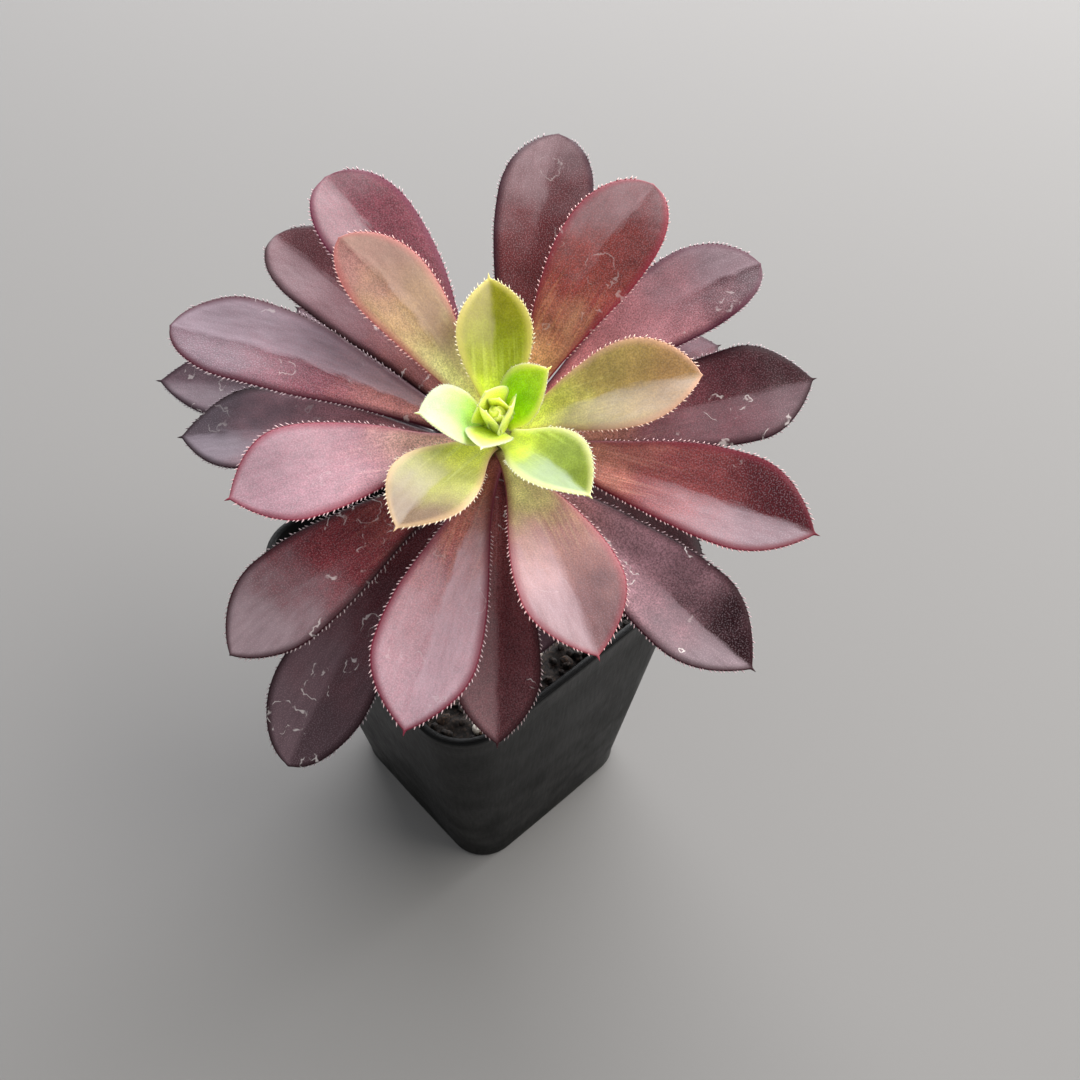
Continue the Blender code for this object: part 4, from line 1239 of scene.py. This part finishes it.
# %% [markdown]
# ## Setting the leaves
# A leaf is made at the origin, bound for +X. It moves out to the stem's skin, turns to its golden
# angle, and then leans and turns with the whole rosette. Its place and size are set against the box
# of the node that it stands for, which the last number of the printed lines shows.

# %% Large leaves
ROOT_SINK = 0.2 * MM
# Each leaf's patterns are this much further on, so no two leaves are alike.
PATTERN_STEP = 47 * MM


def leaf_root(age, leaf):
    """Where a leaf's root sits in the rosette's frame: at the stem's skin, one step down per age."""
    drop = LEAF_STEP * age
    back_off = leaf.thickness * TOP_SHARE * math.sin(abs(leaf.root_pitch))
    return float(stem_radius(drop)) + back_off - ROOT_SINK, -drop


def leaf_body(age, radius, height):
    """One leaf with its cilia in world space, its root this far out from the axis and this high.

    Its values place each point on the leaf in millimetres: along, to the left, and a third number
    that is the leaf's own.
    """
    leaf = joined((leaf_skin(age), cilia(age)))
    along, side, edge, hair = leaf.values.values()
    own = np.full(len(along), age * PATTERN_STEP)
    place = np.column_stack((along * grown(age).length, side, own)) / MM
    points = turned(leaf.points + (radius, 0, 0), "Z", leaf_angle(age)) + (0, 0, height)
    values = {"leaf_mm": place, "along": along, "edge_mm": edge / MM, "hair": hair}
    return leaf._replace(points=rosette_to_world(points), values=values)


for number, age in enumerate(LEAF_AGES, start=1):
    node = f"leaf_{number:02d}"
    body = leaf_body(age, *leaf_root(age, grown(age)))
    skin = aeonium_skin(f"aeonium_leaf_skin_{number:02d}", age)
    leaf = new_piece(f"aeonium_{node}", body, skin)
    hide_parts(node)
    box = np.array((body.points.min(axis=0), body.points.max(axis=0)))
    gap = np.abs(box - np.array(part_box(node))).max()
    print(node, "age", age, "points", len(body.points), "off its node's box", round(gap / MM, 1), "mm")


# %% [markdown]
# ## Heart of the rosette
# The youngest leaves stand nearly upright, packed round the growing point. They are the same leaves
# at a younger age, so the same functions make them. Between them are the leaves that haven't parted
# yet, a closed egg with spiral seams. The egg and the smallest leaves are joined in one piece, and
# the three that have opened get a skin each.

# %% Growing tip
BUD_REACH = 1.5 * MM
CORE_RADIUS = 1.9 * MM
CORE_MIDDLE = 3.4 * MM
CORE_HALF_HEIGHT = 2.9 * MM
CORE_SEAMS = 3
CORE_STEP = 0.3
CORE_ROWS, CORE_COLUMNS = 60, 120


def bud_leaf(age):
    """A heart leaf with its cilia, packed close round the growing point."""
    return leaf_body(age, BUD_REACH, -LEAF_STEP * max(age, -1))


def bud_core():
    """The leaves that haven't parted yet: an egg whose surface steps down along spiral seams.

    Radius = widest radius times the sine of the angle from the top, less a share that grows from 0
    at one seam to the full step at the next. The seams turn once from the top to the foot.
    """
    down, around = np.meshgrid(
        np.linspace(0.98, 0.02, CORE_ROWS) * math.pi,
        np.linspace(0, math.tau, CORE_COLUMNS, endpoint=False), indexing="ij",
    )
    phase = (CORE_SEAMS * (around + 2 * down) / math.tau) % 1
    radius = CORE_RADIUS * np.sin(down) * (1 - CORE_STEP * phase)
    height = CORE_MIDDLE + CORE_HALF_HEIGHT * np.cos(down) * (1 - 0.3 * CORE_STEP * phase)
    grid = np.stack((radius * np.cos(around), radius * np.sin(around), height), axis=-1)
    core = closed_tube(grid, down=down, beside=phase * radius * math.tau / CORE_SEAMS / MM)
    beside, none = core.values["beside"], np.zeros(len(core.points))
    place = np.column_stack((core.values["down"] * 2, beside, none))
    values = {"leaf_mm": place, "along": none + 0.6, "edge_mm": beside + 0.3, "hair": none}
    return core._replace(points=rosette_to_world(core.points), values=values)


heart = joined([bud_leaf(age) for age in BUD_AGES] + [bud_core()])
heart_skin = aeonium_skin("aeonium_heart_skin", -2)
growing_tip = new_piece("aeonium_heart", heart, heart_skin)
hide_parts("growing_tip")
print("heart points:", len(heart.points))
for age in YOUNG_AGES:
    body = bud_leaf(age)
    skin = aeonium_skin(f"aeonium_young_skin_{age}", age)
    new_piece(f"aeonium_young_leaf_{age}", body, skin)
    print("young leaf", age, "points", len(body.points))
